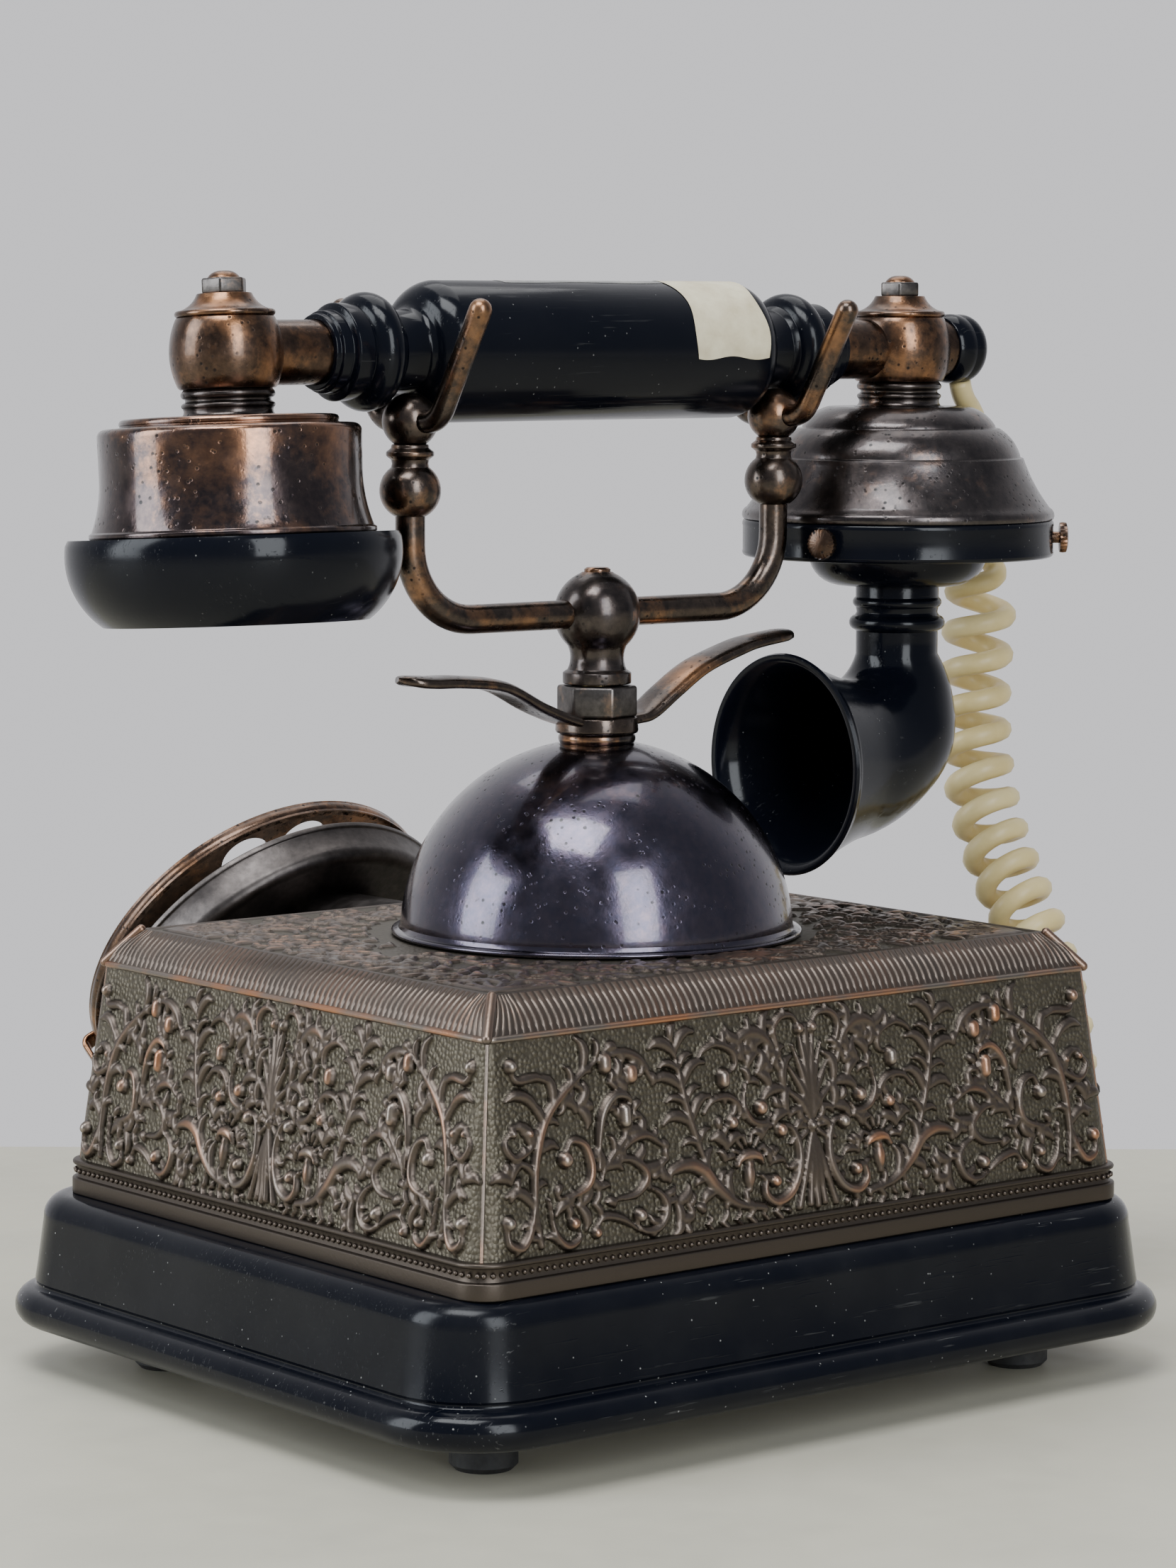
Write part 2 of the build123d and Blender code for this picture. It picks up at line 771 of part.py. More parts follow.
# Half of the grip's turned line as shares: distance of the end, radius of the grip
grip_bead_shares = [(0.751, 0.58), (0.764, 0.63)]
grip_ring_shares = [(0.885, 0.67), (0.94, 0.67), (0.945, 0.575), (0.98, 0.575), (0.985, 0.52), (1.0, 0.52)]


def grip():
    """The whole grip, turned about X."""
    def mark(share):
        return (share[1] * grip_radius, share[0] * grip_end)
    shoulder_mid = grip_crest + 0.6 * (grip_shoulder - grip_crest)
    shoulder_end = grip_shoulder
    neck_low = grip_shoulder + 0.1 * grip_radius
    bead_mid = (0.83 * grip_radius, 0.817 * grip_end)
    bead_end = (0.7 * grip_radius, 0.872 * grip_end)
    half = turn((0, 0), (grip_radius, 0), (grip_radius, grip_crest),
                ((0.87 * grip_radius, shoulder_mid), (0.71 * grip_radius, shoulder_end)),
                (grip_neck, neck_low), *[mark(share) for share in grip_bead_shares],
                (bead_mid, bead_end), *[mark(share) for share in grip_ring_shares], (0, grip_end))
    half -= rod(tube_radius + tube_gap, -overrun, grip_end + overrun)
    return Rot(0, 90, 0) * (half + mirror(half, Plane.XY))


def grip_half(keep):
    return HANDSET * split(grip(), bisect_by=Plane.XY, keep=keep)


def handset_tube():
    low = -end_cap_x - end_cap_length / 3
    high = cup_spacing - fitting_socket
    body = rod_x(tube_radius, low, high) - rod_x(tube_radius - tube_wall, low - overrun, high + overrun)
    body -= Pos(-cup_spacing, 0, 0) * rod(bolt_radius + bolt_gap, -fitting_radius, fitting_radius)
    return HANDSET * body


def fitting(through):
    """Barrel shaped joint that holds the tube and carries one cup."""
    body = turn((0, -fitting_half), (fitting_top, -fitting_half),
                ((fitting_radius, 0), (fitting_top, fitting_half)), (0, fitting_half))
    body -= rod(bolt_radius + bolt_gap, -fitting_half - overrun, fitting_half + overrun)
    far = fitting_radius + overrun if through else -fitting_socket
    return body - rod_x(tube_radius + tube_gap, -fitting_radius - overrun, far)


def fitting_washer():
    low = fitting_half
    body = turn((0, low), (washer_radius, low), (washer_radius, low + washer_rim),
                (washer_top, low + washer_height), (0, low + washer_height))
    return body - rod(bolt_radius + bolt_gap, low - overrun, low + washer_height + overrun)


def fitting_nut():
    low = fitting_half + washer_height
    body = hexagon(fitting_nut_flats, low, low + fitting_nut_height)
    return body - rod(bolt_radius + bolt_gap, low - overrun, low + fitting_nut_height + overrun)


def fitting_bolt(depth):
    """Bolt through one joint with a domed end above its nut."""
    seat = fitting_half + washer_height + fitting_nut_height
    curve = (bolt_dome ** 2 + bolt_dome_height ** 2) / (2 * bolt_dome_height)
    ball = Pos(0, 0, seat + bolt_dome_height - curve) * Sphere(curve)
    return rod(bolt_radius, -depth, seat) + (ball & rod(bolt_dome, seat, seat + 2 * bolt_dome_height))


def fitting_neck():
    """Turned neck below one joint, from its underside to the cup."""
    low, high = -neck_depth, -fitting_half
    height = high - low
    body = turn((0, low), (neck_flare, low), ((0.87 * neck_flare, low + 0.25 * height),
                                              (0.95 * neck_radius, low + 0.42 * height)),
                ((neck_radius, low + 0.52 * height), (0.95 * neck_radius, low + 0.62 * height)),
                ((neck_radius, low + 0.8 * height), (0.95 * neck_radius, high)), (0, high))
    return body - rod(bolt_radius + bolt_gap, low - overrun, high + overrun)


# Earpiece

def ear_cup():
    top = -neck_depth
    deck = top - cup_disc_height
    low = top - cup_depth
    wall = cup_wall
    body = turn((0, top), (cup_disc, top), (cup_disc + wall / 4, deck), (cup_shoulder - wall, deck),
                ((cup_shoulder - wall / 4, deck - wall / 4), (cup_shoulder, deck - wall)),
                (0.995 * cup_shoulder, deck - 0.4 * cup_depth),
                ((0.5 * (cup_shoulder + cup_skirt) - wall / 4, deck - 0.7 * cup_depth),
                 (cup_skirt, low + wall / 2)), (cup_skirt, low), (cup_skirt - wall, low),
                (cup_shoulder - wall, deck - 0.4 * cup_depth), (cup_shoulder - wall, deck - wall),
                (0, deck - wall))
    return body - rod(bolt_radius + bolt_gap, low, top + overrun)


def ear_cap():
    top = -neck_depth - cup_depth
    low = top - cap_height
    floor = low + cap_floor
    edge = cap_radius / 60
    body = turn((0, low + cap_dish), ((0.6 * cap_face, low + 0.6 * cap_dish), (cap_face - edge, low)),
                ((0.94 * cap_radius, low + 0.32 * cap_height), (cap_radius, top - 2 * edge)),
                (cap_radius - edge, top), (cup_skirt - 2 * cup_wall, top), (cup_skirt - 2 * cup_wall, floor),
                (0, floor))
    for number in range(cap_holes):
        angle = radians(360 / cap_holes * number)
        place = Pos(cap_hole_circle * cos(angle), cap_hole_circle * sin(angle), 0)
        body -= place * rod(cap_hole, low - overrun, floor + overrun)
    return body - rod(cap_hole, low - overrun, floor + overrun)


def receiver_capsule():
    floor = -neck_depth - cup_depth - cap_height + cap_floor
    edge = capsule_radius / 15
    body = turn((0, floor), (capsule_radius - edge, floor), (capsule_radius, floor + edge),
                (capsule_radius, floor + 0.6 * capsule_height), (0.6 * capsule_radius, floor + capsule_height),
                (0, floor + capsule_height))
    return body


# Mouthpiece

# The stepped outer line of the bell as shares: radius of the bell, depth of the bell
bell_tier_shares = [
    ((0.51, 0.03), (0.575, 0.075), (0.62, 0.157)),
    ((0.65, 0.175), (0.733, 0.29), (0.784, 0.43)),
    ((0.8, 0.445), (0.865, 0.66), (0.975, 0.9)),
]


def bell_line(radius, depth, top):
    """Steps of the bell's stepped line from the crown down."""
    def mark(share):
        return (share[0] * radius, top - share[1] * depth)
    steps = []
    for first, through, last in bell_tier_shares:
        steps += [mark(first), (mark(through), mark(last))]
    return steps


def mouth_bell():
    top = -neck_depth
    low = top - bell_depth
    wall = bell_wall
    rim = low + 0.08 * bell_depth
    outside = turn((0, top), (0.47 * bell_radius, top), *bell_line(bell_radius, bell_depth, top),
                   (bell_radius, rim), (bell_radius, low), (0, low))
    inside = turn((0, top - wall), (0.42 * bell_radius, top - wall),
                  *bell_line(bell_radius - wall, bell_depth, top - wall), (bell_radius - wall, low - overrun),
                  (0, low - overrun))
    return outside - inside - rod(bolt_radius + bolt_gap, low, top + overrun)


def mouth_ring():
    top = -neck_depth - bell_depth
    low = top - mouth_ring_height
    body = ring(bell_radius, mouth_ring_inner, low, top)
    body += ring(mouth_ring_inner + overrun, dish_throat, low, low + mouth_ring_floor)
    for place in thumb_places():
        body -= place * rod_x(thumb_stem + bolt_gap, mouth_ring_inner - overrun, bell_radius + overrun)
    return body


def thumb_places():
    """Where the thumb screws enter the ring, each with X pointing out."""
    middle = -neck_depth - bell_depth - mouth_ring_height / 2
    return [Pos(0, 0, middle) * Rot(0, 0, thumb_turn + 360 / thumb_count * number)
            for number in range(thumb_count)]


def thumb_screws():
    head = bell_radius + thumb_stand
    screw = rod_x(thumb_stem, mouth_ring_inner, head) + rod_x(thumb_head, head, head + thumb_head_thickness)
    return [place * screw for place in thumb_places()]


def mouth_dish():
    top = -neck_depth - bell_depth - mouth_ring_height
    low = top - dish_height
    return turn((dish_throat, top), (dish_radius, top),
                ((0.82 * dish_radius, top - 0.75 * dish_height), (horn_neck, low)), (dish_throat, low))


def transmitter_capsule():
    low = -neck_depth - bell_depth - mouth_ring_height + mouth_ring_floor
    return rod(transmitter_radius, low, low + transmitter_height)


# Sections fanned about the inner corner of the bend: share of the quarter turn, outer reach by mouth radius
horn_bend_shares = [(0.0, 0.968), (0.25, 1.2), (0.5, 1.43), (0.75, 1.545), (1.0, 1.665)]
# Share of the run after the bend, radius as a share of the mouth
horn_flare_shares = [(0.5, 0.855), (1.0, 1.0)]


def horn_sections(top, inset, reach):
    """Round faces along the horn, from the neck round the bend to the mouth and a little beyond."""
    pivot = Pos(horn_pivot, 0, top - horn_straight)
    faces = [Pos(0, 0, top + reach) * Circle(horn_neck - inset)]
    for turn_share, outer_share in horn_bend_shares:
        outer = outer_share * horn_mouth
        place = pivot * Rot(0, -90 * turn_share, 0) * Pos(-(outer + horn_inner) / 2, 0, 0)
        faces.append(place * Circle((outer - horn_inner) / 2 - inset))
    middle = (horn_bend_shares[-1][1] * horn_mouth + horn_inner) / 2
    for run_share, radius_share in horn_flare_shares:
        place = pivot * Pos(run_share * (horn_run + reach), 0, -middle) * Rot(0, -90, 0)
        faces.append(place * Circle(radius_share * horn_mouth - inset))
    return faces


def horn():
    top = -neck_depth - bell_depth - mouth_ring_height - dish_height
    low = top - horn_ring_height
    step = horn_ring_height / 8
    neck = turn((0, top), (horn_neck, top), (horn_neck, top - 2 * step),
                ((0.93 * horn_ring, top - 3 * step), (horn_neck, top - 4 * step)), (horn_neck, top - 5 * step),
                ((horn_ring, top - 6.5 * step), (horn_neck, low)), (0, low))
    middle = (horn_bend_shares[-1][1] * horn_mouth + horn_inner) / 2
    mouth = Pos(horn_pivot, 0, low - horn_straight - middle)
    rim = mouth * rod_x(horn_mouth, horn_run - horn_rim_length, horn_run)
    outside = neck + loft(horn_sections(low, 0, 0)) + rim
    inside = loft(horn_sections(low, horn_wall, overrun))
    return outside - inside - rod(horn_neck - horn_wall, low, top + overrun)


def tube_end_cap():
    socket = end_cap_length / 3
    body = turn((0, 0), (0.93 * end_cap_radius, 0),
                ((end_cap_radius, 0.55 * end_cap_length), (end_cap_face, end_cap_length)), (0, end_cap_length))
    body -= rod(tube_radius + tube_gap, -overrun, socket)
    body = Pos(-end_cap_x, 0, 0) * Rot(0, -90, 0) * body
    return HANDSET * body


# Handset cord

def cord_nodes():
    top = tube_along(routed(top_route), cord_radius)
    coil = tube_along(routed(coil_route), coil_radius)
    top = top - tube_end_cap() - coil
    base = tube_along(routed(base_route), cord_radius) - coil
    base -= block((grommet_out_x, grommet_y - grommet_flange, grommet_z - grommet_flange),
                  (grommet_in_x, grommet_y + grommet_flange, grommet_z + grommet_flange))
    for name, solid, route, radius in (("top", top, top_route, cord_radius),
                                       ("coil", coil, coil_route, coil_radius),
                                       ("base", base, base_route, cord_radius)):
        length = routed(route).length
        print("cord", name, "length", round(length, 1), "volume", round(solid.volume, 1),
              "section times length", round(length * radius ** 2 * 3.14159, 1))
    return top, coil, base


def grommet(y):
    body = rod_x(grommet_flange, grommet_out_x, grommet_seat_x)
    body += rod_x(grommet_barrel, grommet_seat_x, grommet_in_x)
    return Pos(0, y, grommet_z) * body


# Dial

def finger_wheel():
    body = ring(wheel_radius, wheel_radius - wheel_rim_wall, -wheel_rim, 0)
    body += rod(wheel_radius - wheel_rim_wall / 2, -wheel_thickness, 0)
    body += rod(wheel_hub, -wheel_rim, -wheel_thickness / 2)
    body -= rod(shaft_radius, -wheel_rim - overrun, overrun)
    for number in range(hole_count):
        angle = radians(hole_first + hole_pitch * number)
        place = Pos(hole_circle * cos(angle), hole_circle * sin(angle), 0)
        body -= place * rod(hole_radius, -wheel_rim - overrun, overrun)
    return body


def centre_cap():
    edge = card_height / 3
    return turn((0, 0), (card_radius, 0), (card_radius, edge), ((0.9 * card_radius, 0.85 * card_height),
                (0.75 * card_radius, card_height)), (0, card_height))


def dial_gear():
    body = rod(shaft_radius, -frame_depth, 0)
    return body + rod(gear_radius, -gear_depth, -gear_depth + gear_thickness)


def governor():
    axis_x = gear_radius + pinion_radius + pinion_gap
    body = rod(pinion_radius, -gear_depth, -gear_depth + gear_thickness)
    body += rod(governor_shaft, -frame_depth - bracket_thickness, -gear_depth)
    return Pos(axis_x, 0, 0) * body


def number_plate():
    body = ring(plate_radius, wheel_hub, -plate_depth, -plate_depth + number_plate_thickness)
    return body


def dial_frame():
    low = -frame_depth - bracket_thickness
    body = rod(frame_radius, low, -frame_depth) - rod(shaft_radius / 2, low - overrun, -frame_depth + overrun)
    for number in range(3):
        place = Rot(0, 0, 60 + 120 * number) * Pos(0.88 * frame_radius, 0, 0)
        body += place * rod(bracket_thickness, -cup_rear + dial_cup_floor, low)
        body += place * rod(bracket_thickness, -frame_depth, -plate_depth)
    body -= Pos(gear_radius + pinion_radius + pinion_gap, 0, 0) * rod(governor_shaft + post_gap, low - overrun,
                                                                     -frame_depth + overrun)
    return body


def dial_cup():
    outer, rear = cup_front_radius, cup_rear_radius
    wall, floor = dial_cup_wall, -cup_rear + dial_cup_floor
    ledge = -plate_depth
    body = turn((dial_neck_radius / 2, -cup_rear), (rear - wall, -cup_rear), (rear, -cup_rear + wall),
                (outer, -cup_front), (outer - wall, -cup_front), (outer - wall, ledge), (dial_cup_ledge, ledge),
                (dial_cup_ledge, ledge - wall / 2), (rear - wall, ledge - wall), (rear - wall, floor),
                (dial_neck_radius / 2, floor))
    return body


def dial_neck():
    body = Pos(0, 0, dial_neck_z) * (rod_y(dial_neck_radius, dial_y, -top_half_y)
                                     - rod_y(dial_neck_radius - dial_neck_wall, dial_y - overrun, 0))
    front = DIAL * rod(3 * wheel_radius, -cup_rear, 3 * wheel_radius)
    return body - front - case_outer()


def finger_stop():
    """Hook from the side of the cup over the rim of the finger wheel."""
    post = block((cup_front_radius, -stop_width / 2, -cup_front - 2 * stop_width),
                 (stop_outer, stop_width / 2, stop_gap + stop_thickness))
    arm = block((stop_inner, -stop_width / 2, stop_gap), (stop_outer, stop_width / 2, stop_gap + stop_thickness))
    return Rot(0, 0, stop_turn) * (post + arm)


# Ringer and circuit

def ringer_frame():
    low = base_top
    high = low + ringer_plate
    body = block((-ringer_half_x, -ringer_half_y, low), (ringer_half_x, ringer_half_y, high))
    for side in (-1, 1):
        x = side * (ear_half_gap + ear_thickness / 2)
        body += block((x - ear_thickness / 2, -ear_width / 2, high),
                      (x + ear_thickness / 2, ear_width / 2, pivot_z + ear_width / 2))
        body += Pos(0, side * gong_y, 0) * rod(gong_post, high, gong_top - gong_wall)
        body += Pos(0, side * gong_y, 0) * rod(gong_stem, gong_top - gong_wall, gong_top)
    ears = ear_half_gap + ear_thickness + overrun
    body -= Pos(0, 0, pivot_z) * rod_x(pivot_radius + pivot_gap, -ears, ears)
    return Pos(ringer_x, 0, 0) * body


def ringer_coils():
    low = base_top + ringer_plate
    coil = rod(bobbin_radius, low, bobbin_top) + rod(core_radius, bobbin_top, bobbin_top + core_stand)
    return [Pos(ringer_x, side * coil_y, 0) * coil for side in (-1, 1)]


def clapper():
    half = ear_half_gap - cradle_gap
    body = block((-armature_width / 2, -armature_half, pivot_z - armature_thickness / 2),
                 (armature_width / 2, armature_half, pivot_z + armature_thickness / 2))
    body += Pos(0, 0, pivot_z) * rod_x(1.6 * pivot_radius, -half, half)
    body += Pos(0, 0, pivot_z) * rod_x(pivot_radius, -ear_half_gap - ear_thickness,
                                       ear_half_gap + ear_thickness)
    body += rod(clapper_rod, pivot_z, clapper_z) + Pos(0, 0, clapper_z) * Sphere(clapper_ball)
    return Pos(ringer_x, 0, 0) * body


def gongs():
    wall = gong_wall
    low = gong_top - gong_height
    shell = turn((gong_stem, gong_top - wall), (gong_stem, gong_top), (0.55 * gong_radius, gong_top),
                 ((0.9 * gong_radius, gong_top - 0.3 * gong_height), (gong_radius, low)),
                 (gong_radius - wall, low),
                 ((0.9 * gong_radius - wall, gong_top - 0.3 * gong_height - wall / 2),
                  (0.55 * gong_radius, gong_top - wall)))
    screw = rod(gong_screw, gong_top, gong_top + gong_screw_height)
    places = [Pos(ringer_x, side * gong_y, 0) for side in (-1, 1)]
    return [place * shell for place in places] + [place * screw for place in places]


def network_board():
    board = block((board_low_x, -board_half_y, board_z), (board_high_x, board_half_y, board_z + board_thickness))
    for x in (board_low_x + standoff_inset, board_high_x - standoff_inset):
        for side in (-1, 1):
            board += Pos(x, side * (board_half_y - standoff_inset), 0) * rod(standoff_radius, base_top, board_z)
    top = board_z + board_thickness
    middle = (board_low_x + board_high_x) / 2
    transformer = block((middle - transformer_x / 2, -transformer_y, top),
                        (middle + transformer_x / 2, 0, top + transformer_height))
    cans = []
    for side in (-1, 1):
        place = Pos(middle + side * (condenser_radius + overrun), 0, top + condenser_radius)
        cans.append(place * rod_y(condenser_radius, overrun, overrun + condenser_length))
    return [board, transformer] + cans


def build():
    keep("plinth", plinth())
    keep("base_plate", base_plate())
    keep("rubber_feet", *rubber_feet())
    keep("case_pillars", *case_pillars())
    keep("case_screws", *case_screws())
    keep("case_cover", case_cover())
    keep("dome", dome())
    keep("dome_collar", dome_collar())
    keep("post_bushing", post_bushing())
    keep("wing_plate", wing_plate())
    keep("lock_nut", lock_nut())

    keep("plunger_post", plunger_post())
    keep("hub_ball", hub_ball())
    keep("hub_screw", hub_screw())
    keep("yoke_bar", yoke_bar())
    keep("arm_finials", *arm_finials())
    keep("ear_side_fork", CRADLE * Pos(arm_x, 0, 0) * fork())
    keep("mouth_side_fork", CRADLE * Pos(-arm_x, 0, 0) * fork())

    keep("hook_bracket", hook_bracket())
    keep("hook_spring", hook_spring())
    keep("hook_lever", hook_lever())
    keep("contact_stack", *contact_stack())

    keep("grip_upper_half", grip_half(Keep.TOP))
    keep("grip_lower_half", grip_half(Keep.BOTTOM))
    keep("handset_tube", handset_tube())
    keep("ear_fitting", EAR * fitting(False))
    keep("mouth_fitting", MOUTH * fitting(True))
    keep("fitting_washers", EAR * fitting_washer(), MOUTH * fitting_washer())
    keep("fitting_nuts", EAR * fitting_nut(), MOUTH * fitting_nut())
    keep("fitting_bolts", *[end * fitting_bolt(neck_depth + cup_disc_height + cup_wall) for end in (EAR, MOUTH)])
    keep("fitting_necks", EAR * fitting_neck(), MOUTH * fitting_neck())
    keep("ear_cup", EAR * ear_cup())
    keep("ear_cap", EAR * ear_cap())
    keep("receiver_capsule", EAR * receiver_capsule())
    keep("mouth_bell", MOUTH * mouth_bell())
    keep("mouth_ring", MOUTH * mouth_ring())
    keep("thumb_screws", *[MOUTH * screw for screw in thumb_screws()])
    keep("mouth_dish", MOUTH * mouth_dish())
    keep("transmitter_capsule", MOUTH * transmitter_capsule())
    keep("horn", MOUTH * horn())
    keep("tube_end_cap", tube_end_cap())

    top, coil, base = cord_nodes()
    keep("cord_lead_top", top)
    keep("curly_cord", coil)
    keep("cord_lead_base", base)
    keep("handset_cord_grommet", grommet(grommet_y))
    keep("line_cord_inlet", grommet(inlet_y))

    keep("finger_wheel", DIAL * finger_wheel())
    keep("centre_cap", DIAL * centre_cap())
    keep("dial_gear", DIAL * dial_gear())
    keep("governor", DIAL * governor())
    keep("number_plate", DIAL * number_plate())
    keep("dial_frame", DIAL * dial_frame())
    keep("dial_cup", DIAL * dial_cup())
    keep("dial_neck", dial_neck())
    keep("finger_stop", DIAL * finger_stop())

    keep("ringer_frame", ringer_frame())
    keep("ringer_coils", *ringer_coils())
    keep("gongs", *gongs())
    keep("clapper", clapper())
    keep("network_board", *network_board())
    write_nodes()


if __name__ == "__main__":
    build()
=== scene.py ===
"""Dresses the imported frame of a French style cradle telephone, lights it and sets the camera.

Lengths are millimetres about the middle of the case, and each part turns them into the frame's metres.
"""

from __future__ import annotations

import logging
import math
from collections.abc import Callable, Sequence
from dataclasses import dataclass
from enum import Enum

import bmesh
import bpy
import numpy as np
from mathutils import Matrix, Vector

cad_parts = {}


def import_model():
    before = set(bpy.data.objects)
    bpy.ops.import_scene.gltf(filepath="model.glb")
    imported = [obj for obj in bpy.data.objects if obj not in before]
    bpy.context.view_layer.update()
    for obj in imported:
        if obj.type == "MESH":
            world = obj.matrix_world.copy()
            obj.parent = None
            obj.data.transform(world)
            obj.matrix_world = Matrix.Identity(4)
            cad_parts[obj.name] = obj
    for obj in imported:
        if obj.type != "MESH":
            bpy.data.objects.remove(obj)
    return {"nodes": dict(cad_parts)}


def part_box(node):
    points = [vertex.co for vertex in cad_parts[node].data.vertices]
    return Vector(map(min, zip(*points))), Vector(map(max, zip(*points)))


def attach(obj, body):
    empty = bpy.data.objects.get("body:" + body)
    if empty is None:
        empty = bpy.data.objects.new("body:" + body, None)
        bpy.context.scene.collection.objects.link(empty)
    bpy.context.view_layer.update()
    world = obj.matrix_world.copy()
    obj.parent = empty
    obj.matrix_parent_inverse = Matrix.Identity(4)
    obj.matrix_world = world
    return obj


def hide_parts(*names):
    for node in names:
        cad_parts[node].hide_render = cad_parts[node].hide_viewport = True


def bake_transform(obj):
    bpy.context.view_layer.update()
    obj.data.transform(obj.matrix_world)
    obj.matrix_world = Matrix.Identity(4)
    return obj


log = logging.getLogger("telephone")

MM = 0.001
Flat = tuple[float, float]
Spot = tuple[float, float, float]


def shift(x: float = 0.0, y: float = 0.0, z: float = 0.0) -> Matrix:
    """A move in millimetres."""
    return Matrix.Translation((x, y, z))


def turned_by(angle: float, axis: str) -> Matrix:
    """A turn in degrees about one axis."""
    return Matrix.Rotation(math.radians(angle), 4, axis)


JOINT_X = 81.0
EAR_LEAN = 3.3
DIAL_TILT = 55
UPRIGHT = Matrix.Identity(4)
LYING = turned_by(90, "Y")
CRADLE = shift(0, 1.0, 0)
HANDSET = shift(0, -3.6, 193.7)
EAR = HANDSET @ shift(JOINT_X) @ turned_by(EAR_LEAN, "X")
MOUTH = HANDSET @ shift(-JOINT_X)
DIAL = shift(0, -112.1, 69.2) @ turned_by(DIAL_TILT, "X")
# Name, whether it is a long side, and its turn
SIDES = (("back", True, 0), ("mouth_side", False, 90), ("front", True, 180), ("ear_side", False, 270))


class Body(Enum):
    """The moving bodies that the pieces ride on."""

    BASE = "base"
    CRADLE = "cradle"
    HANDSET = "handset"
    WHEEL = "finger_wheel"


# Shaders


class Graph:
    """A small helper that lays out the nodes of one tree."""

    def __init__(self, tree: bpy.types.NodeTree) -> None:
        """Take up a tree.

        Args:
            tree: where the nodes go.
        """
        self.tree = tree

    def add(self, kind: str, **props: object) -> bpy.types.Node:
        """A new node with some of its properties set.

        Args:
            kind: the node's type.
            props: the properties and their values.

        Returns:
            The node.
        """
        node = self.tree.nodes.new(kind)
        for key, value in props.items():
            setattr(node, key, value)
        return node

    def wire(self, start: bpy.types.NodeSocket, end: bpy.types.NodeSocket) -> None:
        """Join two sockets."""
        self.tree.links.new(start, end)

    def span(self, value: bpy.types.NodeSocket, low: float, high: float, to_low: float = 0.0,
             to_high: float = 1.0) -> bpy.types.NodeSocket:
        """Carry a value from one range to another, held at its ends.

        Args:
            value: what is carried.
            low: the start of its range.
            high: the end of its range.
            to_low: what the start becomes.
            to_high: what the end becomes.

        Returns:
            The carried value.
        """
        node = self.add("ShaderNodeMapRange")
        self.wire(value, node.inputs["Value"])
        for key, number in (("From Min", low), ("From Max", high), ("To Min", to_low), ("To Max", to_high)):
            node.inputs[key].default_value = number
        return node.outputs[0]

    def blend(self, factor: bpy.types.NodeSocket, under: object, over: object) -> bpy.types.NodeSocket:
        """Mix two colours; each is a socket or three numbers.

        Args:
            factor: how much of the second shows.
            under: the first colour.
            over: the second colour.

        Returns:
            The mixed colour.
        """
        node = self.add("ShaderNodeMix", data_type="RGBA")
        self.wire(factor, node.inputs[0])
        for slot, value in ((node.inputs[6], under), (node.inputs[7], over)):
            if isinstance(value, tuple):
                slot.default_value = (*value, 1)
            else:
                self.wire(value, slot)
        return node.outputs[2]


